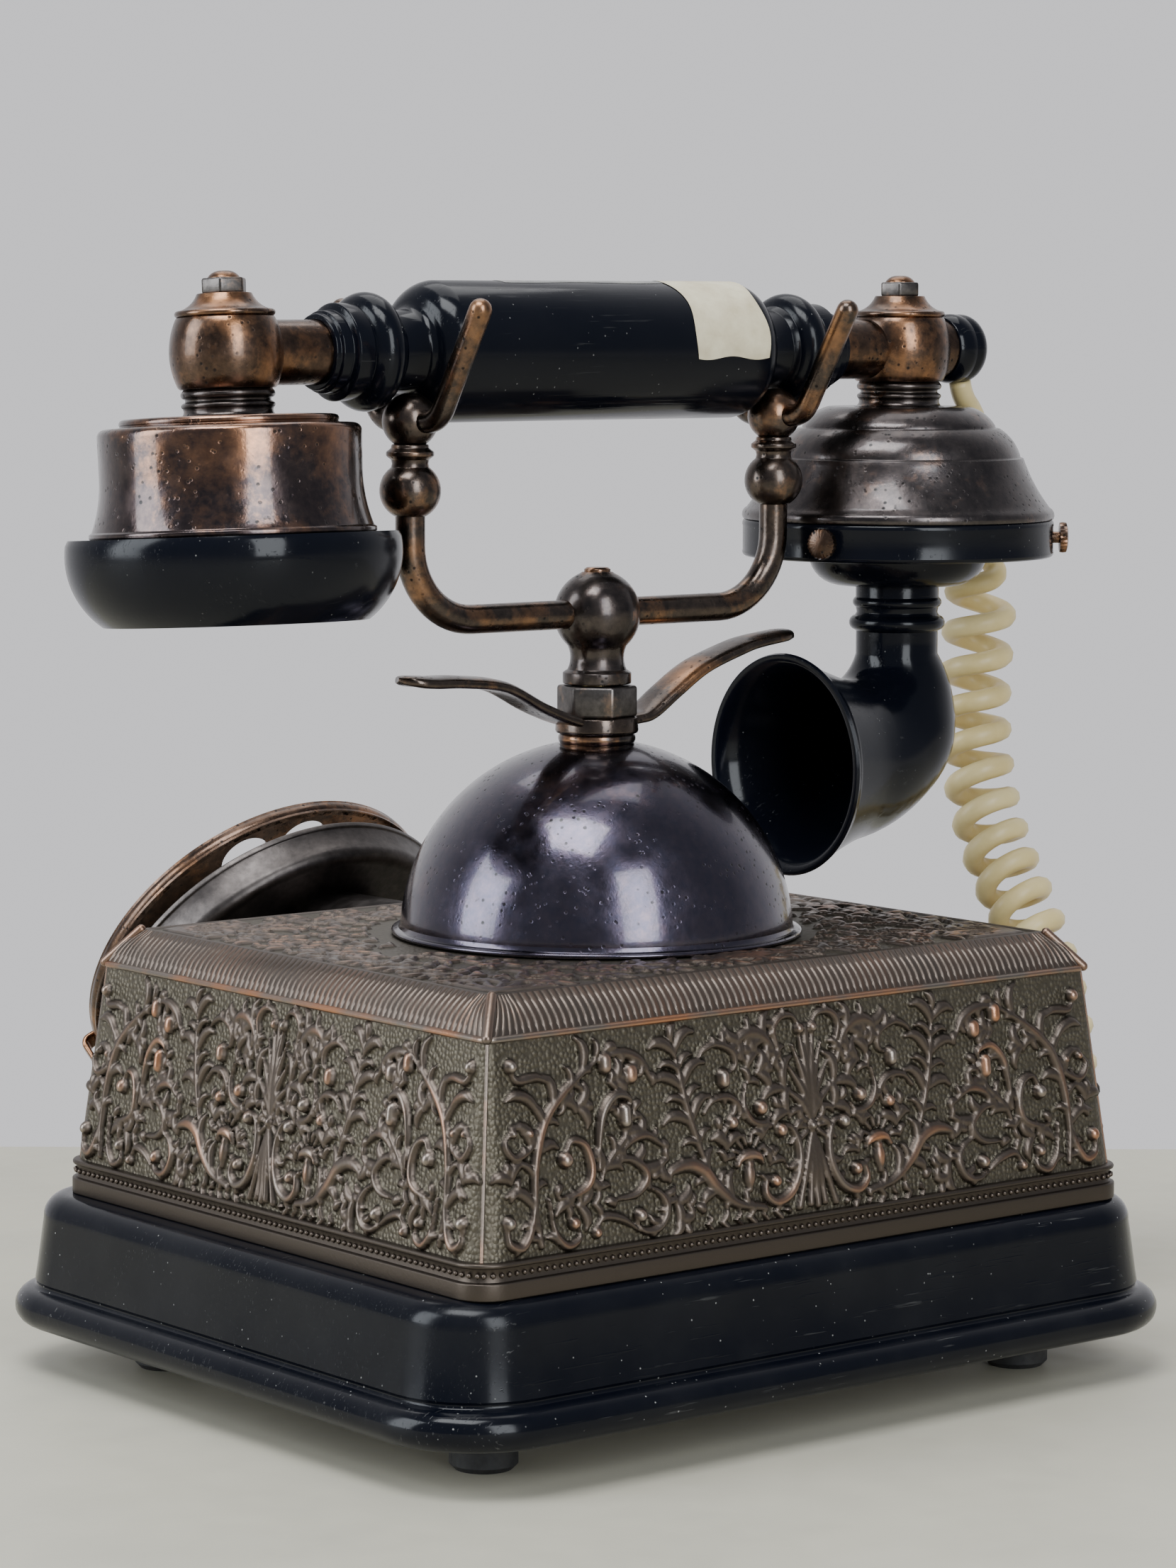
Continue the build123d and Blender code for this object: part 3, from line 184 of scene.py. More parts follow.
class Surface(Graph):
    """The nodes of one material, with its patterns in millimetres."""

    def __init__(self, name: str) -> None:
        """Start an empty material.

        Args:
            name: what the material is called.
        """
        self.material = bpy.data.materials.new(name)
        self.material.use_nodes = True
        super().__init__(self.material.node_tree)
        self.tree.nodes.clear()
        self.shader = self.add("ShaderNodeBsdfPrincipled")
        output = self.add("ShaderNodeOutputMaterial")
        self.wire(self.shader.outputs[0], output.inputs[0])
        source = self.add("ShaderNodeTexCoord")
        self.place = self.scaled(source.outputs["Object"], (1 / MM, 1 / MM, 1 / MM))

    def scaled(self, vector: bpy.types.NodeSocket, scale: Spot) -> bpy.types.NodeSocket:
        """Coordinates scaled along each axis.

        Args:
            vector: the coordinates.
            scale: how much each axis grows.

        Returns:
            The scaled coordinates.
        """
        node = self.add("ShaderNodeMapping")
        node.inputs["Scale"].default_value = scale
        self.wire(vector, node.inputs["Vector"])
        return node.outputs[0]

    def noise(self, size: float, detail: float = 3.0, rough: float = 0.55,
              vector: bpy.types.NodeSocket | None = None) -> bpy.types.NodeSocket:
        """Noise whose features are about size millimetres across.

        Args:
            size: how large its features are.
            detail: how many finer layers it has.
            rough: how strong those are.
            vector: other coordinates than the piece's own.

        Returns:
            The noise, from 0 to 1.
        """
        node = self.add("ShaderNodeTexNoise")
        for key, number in (("Scale", 1 / size), ("Detail", detail), ("Roughness", rough)):
            node.inputs[key].default_value = number
        self.wire(vector or self.place, node.inputs["Vector"])
        return node.outputs["Fac"]

    def cells(self, size: float, scatter: float = 1.0) -> bpy.types.NodeSocket:
        """Distance to points about size millimetres apart, even or scattered.

        Args:
            size: how far apart the points are.
            scatter: 0 for even points and 1 for scattered ones.

        Returns:
            The distance.
        """
        node = self.add("ShaderNodeTexVoronoi")
        for key, number in (("Scale", 1 / size), ("Randomness", scatter)):
            node.inputs[key].default_value = number
        self.wire(self.place, node.inputs["Vector"])
        return node.outputs["Distance"]

    def maths(self, operation: str, *operands: object) -> bpy.types.NodeSocket:
        """One sum; each operand is a socket or a number.

        Args:
            operation: what is done.
            operands: what it is done to.

        Returns:
            The result.
        """
        node = self.add("ShaderNodeMath", operation=operation)
        for slot, value in zip(node.inputs, operands):
            if isinstance(value, (int, float)):
                slot.default_value = value
            else:
                self.wire(value, slot)
        return node.outputs[0]

    def times(self, first: object, second: object) -> bpy.types.NodeSocket:
        """One value times another."""
        return self.maths("MULTIPLY", first, second)

    def plus(self, first: object, second: object) -> bpy.types.NodeSocket:
        """Two values added."""
        return self.maths("ADD", first, second)

    def ramp(self, value: bpy.types.NodeSocket, stops: Sequence[tuple[float, Spot]]) -> bpy.types.NodeSocket:
        """Colours along a value.

        Args:
            value: what picks the colour.
            stops: places and their colours.

        Returns:
            The picked colour.
        """
        node = self.add("ShaderNodeValToRGB")
        elements = node.color_ramp.elements
        while len(elements) < len(stops):
            elements.new(0.5)
        for element, (position, colour) in zip(elements, stops):
            element.position = position
            element.color = (*colour, 1)
        self.wire(value, node.inputs[0])
        return node.outputs[0]

    def bump(self, heights: Sequence[tuple[bpy.types.NodeSocket, float]]) -> None:
        """Stack height patterns, each with its depth in millimetres, on the normal.

        Args:
            heights: the patterns and their depths.
        """
        last = None
        for height, depth in heights:
            node = self.add("ShaderNodeBump")
            node.inputs["Distance"].default_value = depth * MM
            self.wire(height, node.inputs["Height"])
            if last:
                self.wire(last, node.inputs["Normal"])
            last = node.outputs[0]
        self.wire(last, self.shader.inputs["Normal"])

    def colour(self, socket: bpy.types.NodeSocket) -> None:
        """Drive the base colour."""
        self.wire(socket, self.shader.inputs["Base Color"])

    def roughness(self, socket: bpy.types.NodeSocket) -> None:
        """Drive the roughness."""
        self.wire(socket, self.shader.inputs["Roughness"])

    def set(self, **values: object) -> None:
        """Set even values on the shader's own sockets, spaces written as underscores."""
        for key, value in values.items():
            self.shader.inputs[key.replace("_", " ")].default_value = value


@dataclass(frozen=True)
class AgedCopper:
    """Copper plating gone dark, rubbed warm in patches and pitted."""

    name: str
    dark: Spot
    brown: Spot
    warm: Spot
    shine: float = 0.24
    dull: float = 0.42
    patch: float = 12.0
    warmth: tuple[float, float] = (0.56, 0.72)
    lacquer: float = 0.0
    pits: float = 0.0
    wave: float = 0.1
    soot: Spot = (0.012, 0.011, 0.011)

    def make(self) -> bpy.types.Material:
        """The finish as a material.

        Returns:
            The new material.
        """
        g = Surface(self.name)
        patches = g.noise(self.patch, 5, 0.6)
        mottle = g.noise(1.8, 4, 0.65)
        base = g.blend(g.span(mottle, 0.3, 0.7), self.dark, self.brown)
        ragged = g.plus(g.times(patches, 0.8), g.times(mottle, 0.2))
        colour = g.blend(g.span(ragged, *self.warmth), base, self.warm)
        rough = g.span(g.noise(5.0, 4), 0.3, 0.72, self.shine, self.dull)
        heights = [(g.noise(0.6, 3), 0.02), (g.noise(6.0, 2), self.wave)]
        if self.pits:
            holes = g.span(g.cells(1.5), 0.12, 0.26, 1.0, 0.0)
            sparse = g.times(holes, g.span(g.noise(7, 3), 0.46, 0.56))
            colour = g.blend(g.times(sparse, 0.85), colour, self.soot)
            rough = g.plus(rough, g.times(sparse, 0.4))
            heights.append((sparse, -self.pits))
        g.colour(colour)
        g.roughness(rough)
        g.bump(heights)
        g.set(Metallic=1.0, Coat_Weight=self.lacquer, Coat_Roughness=0.08)
        return g.material


@dataclass(frozen=True)
class EmbossedBronze:
    """Embossed plating: olive pebbled ground that is darker between the pebbles, brown ornament with painted
    shade at its foot and a painted highlight on its tops, copper where hands have rubbed it.
    """

    name: str
    ground: Spot = (0.148, 0.131, 0.099)
    # Grime and painted shade: darkens the ground between the pebbles and the foot of the ornament where it
    # meets the ground.
    grime_and_shade: Spot = (0.046, 0.039, 0.032)
    brown: Spot = (0.118, 0.095, 0.079)
    # Painted highlight on the tallest parts of the ornament.
    top_highlight: Spot = (0.28, 0.237, 0.202)
    warm: Spot = (0.44, 0.215, 0.120)
    pebble: float = 0.9

    def make(self) -> bpy.types.Material:
        """The finish as a material.

        Returns:
            The new material.
        """
        g = Surface(self.name)
        relief = g.add("ShaderNodeAttribute", attribute_name="relief").outputs["Fac"]
        patches = g.noise(17.0, 4, 0.6)
        mottle = g.noise(1.5, 4, 0.65)
        dots = g.span(g.cells(self.pebble, 0.75), 0.1, 0.72, 1.0, 0.0)
        # The pebbled ground, darker between the pebbles.
        low = g.blend(g.times(g.span(dots, 0.0, 1.0, 0.62, 0.9), g.span(mottle, 0.25, 0.7, 0.7, 1.0)),
                      self.grime_and_shade, self.ground)
        # Colour along the relief height: grime and painted shade at the ornament's foot, brown through the
        # middle, painted highlight on the tops.
        steps = [(0.0, self.grime_and_shade), (0.25, self.brown), (0.62, self.brown), (1.0, self.top_highlight)]
        high = g.ramp(g.span(relief, 0.3, 1.0), steps)
        rubbed = g.times(g.span(patches, 0.42, 0.64), g.span(relief, 0.66, 0.92))
        ornament = g.blend(rubbed, high, self.warm)
        g.colour(g.blend(g.span(relief, 0.14, 0.3), low, ornament))
        g.roughness(g.span(relief, 0.1, 0.9, 0.5, 0.34))
        pebbles = g.times(dots, g.span(relief, 0.13, 0.24, 1.0, 0.0))
        g.bump([(g.noise(0.5, 3), 0.03), (pebbles, 0.15)])
        g.set(Metallic=1.0)
        return g.material


@dataclass(frozen=True)
class GlossMoulding:
    """Polished black moulding with smudges, dust and hairline scratches."""

    name: str
    black: Spot = (0.0020, 0.0027, 0.0055)
    dust: Spot = (0.22, 0.22, 0.21)
    dusty: float = 0.5
    shine: float = 0.1

    def make(self) -> bpy.types.Material:
        """The finish as a material.

        Returns:
            The new material.
        """
        g = Surface(self.name)
        specks = g.span(g.cells(1.9), 0.05, 0.1, 1.0, 0.0)
        sparse = g.times(specks, g.span(g.noise(11, 3), 0.5, 0.6))
        film = g.span(g.noise(26, 5, 0.62), 0.45, 0.8, 0.0, 0.016)
        hairs = g.noise(1.0, 2, 0.7, g.scaled(g.place, (0.06, 2.4, 1.1)))
        worn = g.times(g.span(hairs, 0.64, 0.7), g.span(g.noise(15, 3), 0.5, 0.62, 0.0, 0.12))
        grey = g.times(g.plus(g.plus(sparse, film), worn), self.dusty)
        g.colour(g.blend(grey, self.black, self.dust))
        smudge = g.span(g.noise(17, 4), 0.3, 0.75, self.shine, self.shine + 0.15)
        g.roughness(g.plus(smudge, g.times(grey, 0.8)))
        g.bump([(g.noise(30, 2), 0.14), (g.span(hairs, 0.62, 0.7), 0.01)])
        g.set(IOR=1.5, Specular_IOR_Level=0.2)
        return g.material


@dataclass(frozen=True)
class PlainFinish:
    """A quiet finish with a little mottling, for metal, rubber, board, enamel, paper or vinyl."""

    name: str
    colour: Spot
    stain: Spot
    metal: float = 0.0
    shine: float = 0.35
    dull: float = 0.55
    grain: float = 1.4
    depth: float = 0.02
    spread: tuple[float, float] = (0.42, 0.72)

    def make(self) -> bpy.types.Material:
        """The finish as a material.

        Returns:
            The new material.
        """
        g = Surface(self.name)
        stains = g.noise(self.grain * 7, 5, 0.6)
        grain = g.noise(self.grain, 3)
        g.colour(g.blend(g.span(stains, *self.spread), self.colour, self.stain))
        g.roughness(g.span(grain, 0.3, 0.7, self.shine, self.dull))
        g.bump([(grain, self.depth)])
        g.set(Metallic=self.metal)
        return g.material


class Finishes:
    """Every finish of the telephone, made once."""

    def __init__(self) -> None:
        """Make the materials."""
        self.case = EmbossedBronze("case_relief").make()
        self.dome = AgedCopper("dome_plating", (0.052, 0.049, 0.074), (0.082, 0.066, 0.088),
                               (0.150, 0.098, 0.100), shine=0.15, dull=0.3, patch=30.0,
                               warmth=(0.55, 0.8), lacquer=0.5, pits=0.06, wave=0.06).make()
        self.copper = AgedCopper("aged_copper", (0.050, 0.033, 0.025), (0.125, 0.075, 0.050),
                                 (0.42, 0.195, 0.085), shine=0.2, dull=0.38, patch=17.0,
                                 warmth=(0.50, 0.74), lacquer=0.15, pits=0.03).make()
        self.bronze = AgedCopper("dark_bronze", (0.038, 0.032, 0.031), (0.085, 0.068, 0.060),
                                 (0.34, 0.170, 0.085), shine=0.2, dull=0.38, patch=13.0,
                                 warmth=(0.55, 0.67), lacquer=0.2, pits=0.03).make()
        self.rubbed = AgedCopper("rubbed_bronze", (0.050, 0.040, 0.035), (0.105, 0.078, 0.062),
                                 (0.40, 0.195, 0.088), shine=0.2, dull=0.38, patch=16.0,
                                 warmth=(0.50, 0.74), lacquer=0.15, pits=0.03).make()
        self.bell = AgedCopper("bell_plating", (0.050, 0.044, 0.044), (0.088, 0.073, 0.069),
                               (0.23, 0.130, 0.085), shine=0.2, dull=0.36, patch=22.0,
                               warmth=(0.57, 0.75), lacquer=0.25, pits=0.04).make()
        self.gunmetal = AgedCopper("gun_metal", (0.062, 0.055, 0.052), (0.105, 0.092, 0.086),
                                   (0.18, 0.115, 0.080), shine=0.3, dull=0.46, patch=30.0,
                                   warmth=(0.6, 0.85)).make()
        self.nuts = AgedCopper("worn_nuts", (0.066, 0.060, 0.057), (0.135, 0.122, 0.115),
                               (0.28, 0.18, 0.12), shine=0.28, dull=0.46, patch=6.0).make()
        self.cups = AgedCopper("cup_plating", (0.047, 0.036, 0.038), (0.096, 0.069, 0.062),
                               (0.36, 0.175, 0.090), shine=0.14, dull=0.28, patch=24.0,
                               warmth=(0.50, 0.72), lacquer=0.35, pits=0.07).make()
        self.black = GlossMoulding("black_moulding").make()
        self.plinth = GlossMoulding("plinth_moulding", dusty=1.5).make()
        self.cord = PlainFinish("ivory_vinyl", (0.68, 0.555, 0.275), (0.55, 0.42, 0.17),
                                shine=0.34, dull=0.48, grain=2.2).make()
        self.brass = PlainFinish("plain_brass", (0.72, 0.55, 0.27), (0.45, 0.31, 0.14),
                                 metal=1.0, shine=0.25, dull=0.42).make()
        self.steel = PlainFinish("zinc_steel", (0.55, 0.55, 0.54), (0.35, 0.34, 0.33),
                                 metal=1.0, dull=0.6).make()
        self.spring = PlainFinish("spring_steel", (0.42, 0.42, 0.44), (0.25, 0.24, 0.24),
                                  metal=1.0, shine=0.22, dull=0.4).make()
        self.winding = PlainFinish("coil_winding", (0.42, 0.18, 0.09), (0.25, 0.09, 0.05),
                                   metal=0.4, shine=0.3, dull=0.45, grain=0.5).make()
        self.rubber = PlainFinish("black_rubber", (0.018, 0.018, 0.019), (0.05, 0.048, 0.045),
                                  shine=0.55, dull=0.8).make()
        self.board = PlainFinish("brown_board", (0.20, 0.11, 0.05), (0.12, 0.06, 0.03),
                                 shine=0.4, dull=0.6, grain=0.8).make()
        self.enamel = PlainFinish("white_enamel", (0.82, 0.81, 0.75), (0.66, 0.62, 0.52),
                                  shine=0.16, dull=0.28, grain=3.0).make()
        self.ink = PlainFinish("dial_ink", (0.02, 0.02, 0.022), (0.05, 0.05, 0.05),
                               shine=0.4, dull=0.5).make()
        self.paper = PlainFinish("cream_tape", (0.66, 0.60, 0.43), (0.47, 0.40, 0.26), shine=0.5,
                                 dull=0.7, grain=0.8, depth=0.05, spread=(0.35, 0.75)).make()
        self.film = PlainFinish("clear_tape", (0.10, 0.10, 0.09), (0.30, 0.29, 0.26), shine=0.12,
                                dull=0.3, grain=1.6, depth=0.06, spread=(0.5, 0.8)).make()


# Shapes


def placed(name: str, data: bpy.types.ID) -> bpy.types.Object:
    """A new object in the scene that holds the data.

    Args:
        name: what the object is called.
        data: its mesh, curve, lamp or camera.

    Returns:
        The object.
    """
    item = bpy.data.objects.new(name, data)
    bpy.context.scene.collection.objects.link(item)
    return item


def mesh_of(curve: bpy.types.Curve) -> bmesh.types.BMesh:
    """The mesh that a curve or a text makes; the curve is used up here.

    Args:
        curve: the curve or text.

    Returns:
        Its mesh.
    """
    holder = placed(curve.name, curve)
    mesh = bpy.data.meshes.new_from_object(holder.evaluated_get(bpy.context.evaluated_depsgraph_get()))
    bm = bmesh.new()
    bm.from_mesh(mesh)
    bpy.data.objects.remove(holder)
    bpy.data.curves.remove(curve)
    bpy.data.meshes.remove(mesh)
    return bm


def dressed(bm: bmesh.types.BMesh, name: str, finish: bpy.types.Material) -> bpy.types.Object:
    """A smooth object in one finish, from a mesh that is used up here.

    Args:
        bm: the mesh.
        name: what the object is called.
        finish: its material.

    Returns:
        The object.
    """
    for face in bm.faces:
        face.smooth = True
    mesh = bpy.data.meshes.new(name)
    bm.to_mesh(mesh)
    bm.free()
    mesh.materials.append(finish)
    return placed(name, mesh)


def held(value: float) -> float:
    """A value kept between 0 and 1."""
    return min(max(value, 0.0), 1.0)


def arc(start: Flat, through: Flat, end: Flat, steps: int = 8) -> list[Flat]:
    """Points of the circle arc that leaves start and reaches end.

    Args:
        start: where the arc begins; it isn't repeated in the result.
        through: a point that the arc passes.
        end: the last point of the result.
        steps: how many points are made.

    Returns:
        The points after start.
    """
    (ax, ay), (bx, by), (cx, cy) = start, through, end
    d = 2 * (ax * (by - cy) + bx * (cy - ay) + cx * (ay - by))
    sa, sb, sc = ax * ax + ay * ay, bx * bx + by * by, cx * cx + cy * cy
    ux = (sa * (by - cy) + sb * (cy - ay) + sc * (ay - by)) / d
    uy = (sa * (cx - bx) + sb * (ax - cx) + sc * (bx - ax)) / d
    first = math.atan2(ay - uy, ax - ux)
    middle = (math.atan2(by - uy, bx - ux) - first) % math.tau
    last = (math.atan2(cy - uy, cx - ux) - first) % math.tau
    if middle > last:
        last -= math.tau
    radius = math.hypot(ax - ux, ay - uy)
    angles = [first + last * (i + 1) / steps for i in range(steps)]
    return [(ux + radius * math.cos(a), uy + radius * math.sin(a)) for a in angles]


class Outline:
    """A line in radius and height that is turned about an axis."""

    def __init__(self, radius: float, height: float) -> None:
        """Start the line at one point."""
        self.points: list[Flat] = [(radius, height)]

    def to(self, *points: Flat) -> Outline:
        """Straight runs to more points.

        Args:
            points: the points, in order.

        Returns:
            The line itself.
        """
        self.points.extend(points)
        return self

    def arc(self, through: Flat, end: Flat, steps: int = 8) -> Outline:
        """An arc through one point to another.

        Args:
            through: a point that the arc passes.
            end: where it ends.
            steps: how many runs it has.

        Returns:
            The line itself.
        """
        self.points.extend(arc(self.points[-1], through, end, steps))
        return self

    def soft(self, radius: float = 0.35, steps: int = 3) -> list[Flat]:
        """The line's points, with each sharp corner off the axis rounded.

        Args:
            radius: the rounding, made smaller where the runs are short.
            steps: how many runs each rounding has.

        Returns:
            The points of the softened line.
        """
        made = [self.points[0]]
        for before, here, after in zip(self.points, self.points[1:], self.points[2:]):
            a, b = Vector(before) - Vector(here), Vector(after) - Vector(here)
            if a.length < 1e-6 or b.length < 1e-6:
                continue
            bend = math.pi - a.angle(b)
            if bend < 0.45 or here[0] < 1e-6:
                made.append(here)
                continue
            reach = min(radius * math.tan(bend / 2), 0.42 * a.length, 0.42 * b.length)
            start, end = Vector(here) + a.normalized() * reach, Vector(here) + b.normalized() * reach
            for i in range(steps + 1):
                t = i / steps
                made.append(tuple((1 - t) ** 2 * start + 2 * t * (1 - t) * Vector(here) + t * t * end))
        made.append(self.points[-1])
        return made


def lathe(points: Sequence[Flat], segments: int = 96, ring: bool = False) -> bmesh.types.BMesh:
    """Turn a line about Z.

    Args:
        points: radius and height along the line.
        segments: how many steps the turn has.
        ring: whether the line closes on itself.

    Returns:
        The turned mesh, in millimetres.
    """
    bm = bmesh.new()
    verts = [bm.verts.new((r, 0, z)) for r, z in points]
    pairs = list(zip(verts, verts[1:])) + ([(verts[-1], verts[0])] if ring else [])
    edges = [bm.edges.new(pair) for pair in pairs]
    bmesh.ops.spin(bm, geom=verts + edges, cent=(0, 0, 0), axis=(0, 0, 1), angle=math.tau, steps=segments,
                   use_merge=True)
    bmesh.ops.remove_doubles(bm, verts=bm.verts, dist=1e-3)
    bmesh.ops.recalc_face_normals(bm, faces=bm.faces)
    return bm


def skin(columns: int, rows: int, where: Callable[[float, float], Spot],
         weld: float = 1e-3) -> bmesh.types.BMesh:
    """Bend a fine grid into a surface.

    Args:
        columns: how many faces across.
        rows: how many faces up.
        where: gives the place for shares across and up.
        weld: points nearer than this are joined.

    Returns:
        The bent grid, in millimetres.
    """
    bm = bmesh.new()
    bmesh.ops.create_grid(bm, x_segments=columns, y_segments=rows, size=1.0)
    for vert in bm.verts:
        vert.co = where((vert.co.x + 1) / 2, (vert.co.y + 1) / 2)
    if weld:
        bmesh.ops.remove_doubles(bm, verts=bm.verts, dist=weld)
    bmesh.ops.recalc_face_normals(bm, faces=bm.faces)
    return bm


def smooth_line(points: Sequence[Sequence[float]], steps: int = 8) -> list[Vector]:
    """A smooth line through all the points.

    Args:
        points: where it passes.
        steps: how many runs lie between two points.

    Returns:
        The points of the line.
    """
    spots = [Vector(p) for p in points]
    if len(spots) < 3:
        return [spots[0].lerp(spots[-1], i / steps) for i in range(steps + 1)]
    padded = [2 * spots[0] - spots[1], *spots, 2 * spots[-1] - spots[-2]]
    made = [spots[0]]
    for a, b, c, d in zip(padded, padded[1:], padded[2:], padded[3:]):
        for i in range(1, steps + 1):
            t = i / steps
            made.append(0.5 * (2 * b + (c - a) * t + (2 * a - 5 * b + 4 * c - d) * t * t
                               + (3 * b - 3 * c + d - a) * t ** 3))
    return made


def bent(points: Sequence[Spot], radius: float, steps: int = 10) -> list[Vector]:
    """Straight runs with each corner rounded by an arc.

    Args:
        points: the ends and the corners.
        radius: the radius of the arcs.
        steps: how many runs each arc has.

    Returns:
        The points of the line.
    """
    spots = [Vector(p) for p in points]
    made = [spots[0]]
    for before, here, after in zip(spots, spots[1:], spots[2:]):
        a, b = (before - here).normalized(), (after - here).normalized()
        half = a.angle(b) / 2
        centre = here + (a + b).normalized() * (radius / math.sin(half))
        start, end = here + a * (radius / math.tan(half)), here + b * (radius / math.tan(half))
        first, last = (start - centre).normalized(), (end - centre).normalized()
        for i in range(steps + 1):
            made.append(centre + first.slerp(last, i / steps) * radius)
    made.append(spots[-1])
    return made


def rod(line: Sequence[Vector], radius: float, ends: tuple[bool, bool] = (False, False),
        sides: int = 5) -> bmesh.types.BMesh:
    """A round bar along a line, with domed ends where asked.

    Args:
        line: the points of its middle.
        radius: its radius.
        ends: whether the first and last end are domed.
        sides: the roundness of the bar.

    Returns:
        The bar as a mesh, in millimetres.
    """
    spots = [(Vector(p), radius) for p in line]
    for at_end in (1, 0):
        if not ends[at_end]:
            continue
        tip, inner = (spots[-1][0], spots[-2][0]) if at_end else (spots[0][0], spots[1][0])
        way = (tip - inner).normalized()
        cap = [(tip + way * radius * math.sin(a), max(radius * math.cos(a), 0.02))
               for a in (math.radians(x) for x in (15, 30, 45, 60, 75, 90))]
        spots = spots + cap if at_end else cap[::-1] + spots
    curve = bpy.data.curves.new("bar", "CURVE")
    curve.dimensions = "3D"
    curve.bevel_depth = 1.0
    curve.bevel_resolution = sides
    curve.use_fill_caps = True
    spline = curve.splines.new("POLY")
    spline.points.add(len(spots) - 1)
    for point, (spot, size) in zip(spline.points, spots):
        point.co = (*spot, 1)
        point.radius = size
    bm = mesh_of(curve)
    bmesh.ops.remove_doubles(bm, verts=bm.verts, dist=1e-3)
    bmesh.ops.recalc_face_normals(bm, faces=bm.faces)
    return bm


def strip(line: Sequence[Vector], half: float, thick: float, crown: float = 0.0) -> bmesh.types.BMesh:
    """A bent strip in the plane of X and Z, with a round tip at its end.

    Args:
        line: the points of its middle.
        half: half its width.
        thick: half its thickness.
        crown: how far its middle stands up.

    Returns:
        The strip as a mesh.
    """
    far = [0.0]
    for a, b in zip(line, line[1:]):
        far.append(far[-1] + (b - a).length)
    count = len(line) - 1

    def where(u: float, v: float) -> Spot:
        """The place of a point by turn round the strip and share along it.

        Args:
            u: the share round or across.
            v: the share along or up.

        Returns:
            The place in millimetres.
        """
        index = round(v * count)
        way = (line[min(index + 1, count)] - line[max(index - 1, 0)]).normalized()
        up = Vector((-way.z, 0, way.x)) * (1 if way.x > 0 else -1)
        left = max(0.0, 1 - max(0.0, 1 - (far[-1] - far[index]) / half) ** 2) ** 0.5
        a = math.tau * u
        wide = half * (0.86 + 0.14 * math.sin(math.pi * v)) * left
        y = wide * math.copysign(abs(math.cos(a)) ** 0.45, math.cos(a))
        rise = thick * math.copysign(abs(math.sin(a)) ** 0.7, math.sin(a)) * (0.35 + 0.65 * left)
        spot = line[index] + up * (rise + crown * (1 - (y / half) ** 2))
        return (spot.x, y, spot.z)

    return skin(28, count, where)


def hoop(outline: Sequence[Flat], half_x: float, half_y: float, corner: float) -> bmesh.types.BMesh:
    """Sweep an outline round a rounded rectangle.

    Args:
        outline: how far out and how high each point is.
        half_x: half the length.
        half_y: half the width.
        corner: the corner radius.

    Returns:
        The closed hoop.
    """
    stations = []
    for index, (sx, sy) in enumerate(((1, 1), (-1, 1), (-1, -1), (1, -1))):
        for i in range(11):
            a = math.radians(90 * index + 9 * i)
            middle = Vector((sx * (half_x - corner), sy * (half_y - corner)))
            normal = Vector((math.cos(a), math.sin(a)))
            stations.append((middle + normal * corner, normal))
    stations.append(stations[0])
    count, rows = len(stations) - 1, len(outline) - 1

    def where(u: float, v: float) -> Spot:
        """The place of a point by station and outline.

        Args:
            u: the share round or across.
            v: the share along or up.

        Returns:
            The place in millimetres.
        """
        spot, normal = stations[round(u * count)]
        out, z = outline[round(v * rows)]
        return (*(spot + normal * out), z)

    return skin(count, rows, where)


def nut(flats: float, height: float, corner: float) -> bmesh.types.BMesh:
    """A six sided nut standing on Z, its edges rounded.

    Args:
        flats: the width across its flats.
        height: how tall it is.
        corner: how far its edges are cut back.

    Returns:
        The nut as a mesh.
    """
    bm = bmesh.new()
    bmesh.ops.create_circle(bm, cap_ends=True, segments=6, radius=flats / math.sqrt(3))
    raised = bmesh.ops.extrude_face_region(bm, geom=bm.faces[:])["geom"]
    verts = [item for item in raised if isinstance(item, bmesh.types.BMVert)]
    bmesh.ops.translate(bm, vec=(0, 0, height), verts=verts)
    bmesh.ops.recalc_face_normals(bm, faces=bm.faces)
    bmesh.ops.bevel(bm, geom=bm.edges[:], offset=corner, segments=3, profile=0.5, affect="EDGES", material=-1)
    return bm


def joined(*parts: tuple[bmesh.types.BMesh, Matrix]) -> bmesh.types.BMesh:
    """Bring several meshes together, each moved by its own place.

    Args:
        parts: the meshes, used up here, and their places.

    Returns:
        The one mesh.
    """
    whole = bmesh.new()
    for bm, place in parts:
        bmesh.ops.transform(bm, matrix=place, verts=bm.verts)
        mesh = bpy.data.meshes.new("part")
        bm.to_mesh(mesh)
        bm.free()
        whole.from_mesh(mesh)
        bpy.data.meshes.remove(mesh)
    return whole


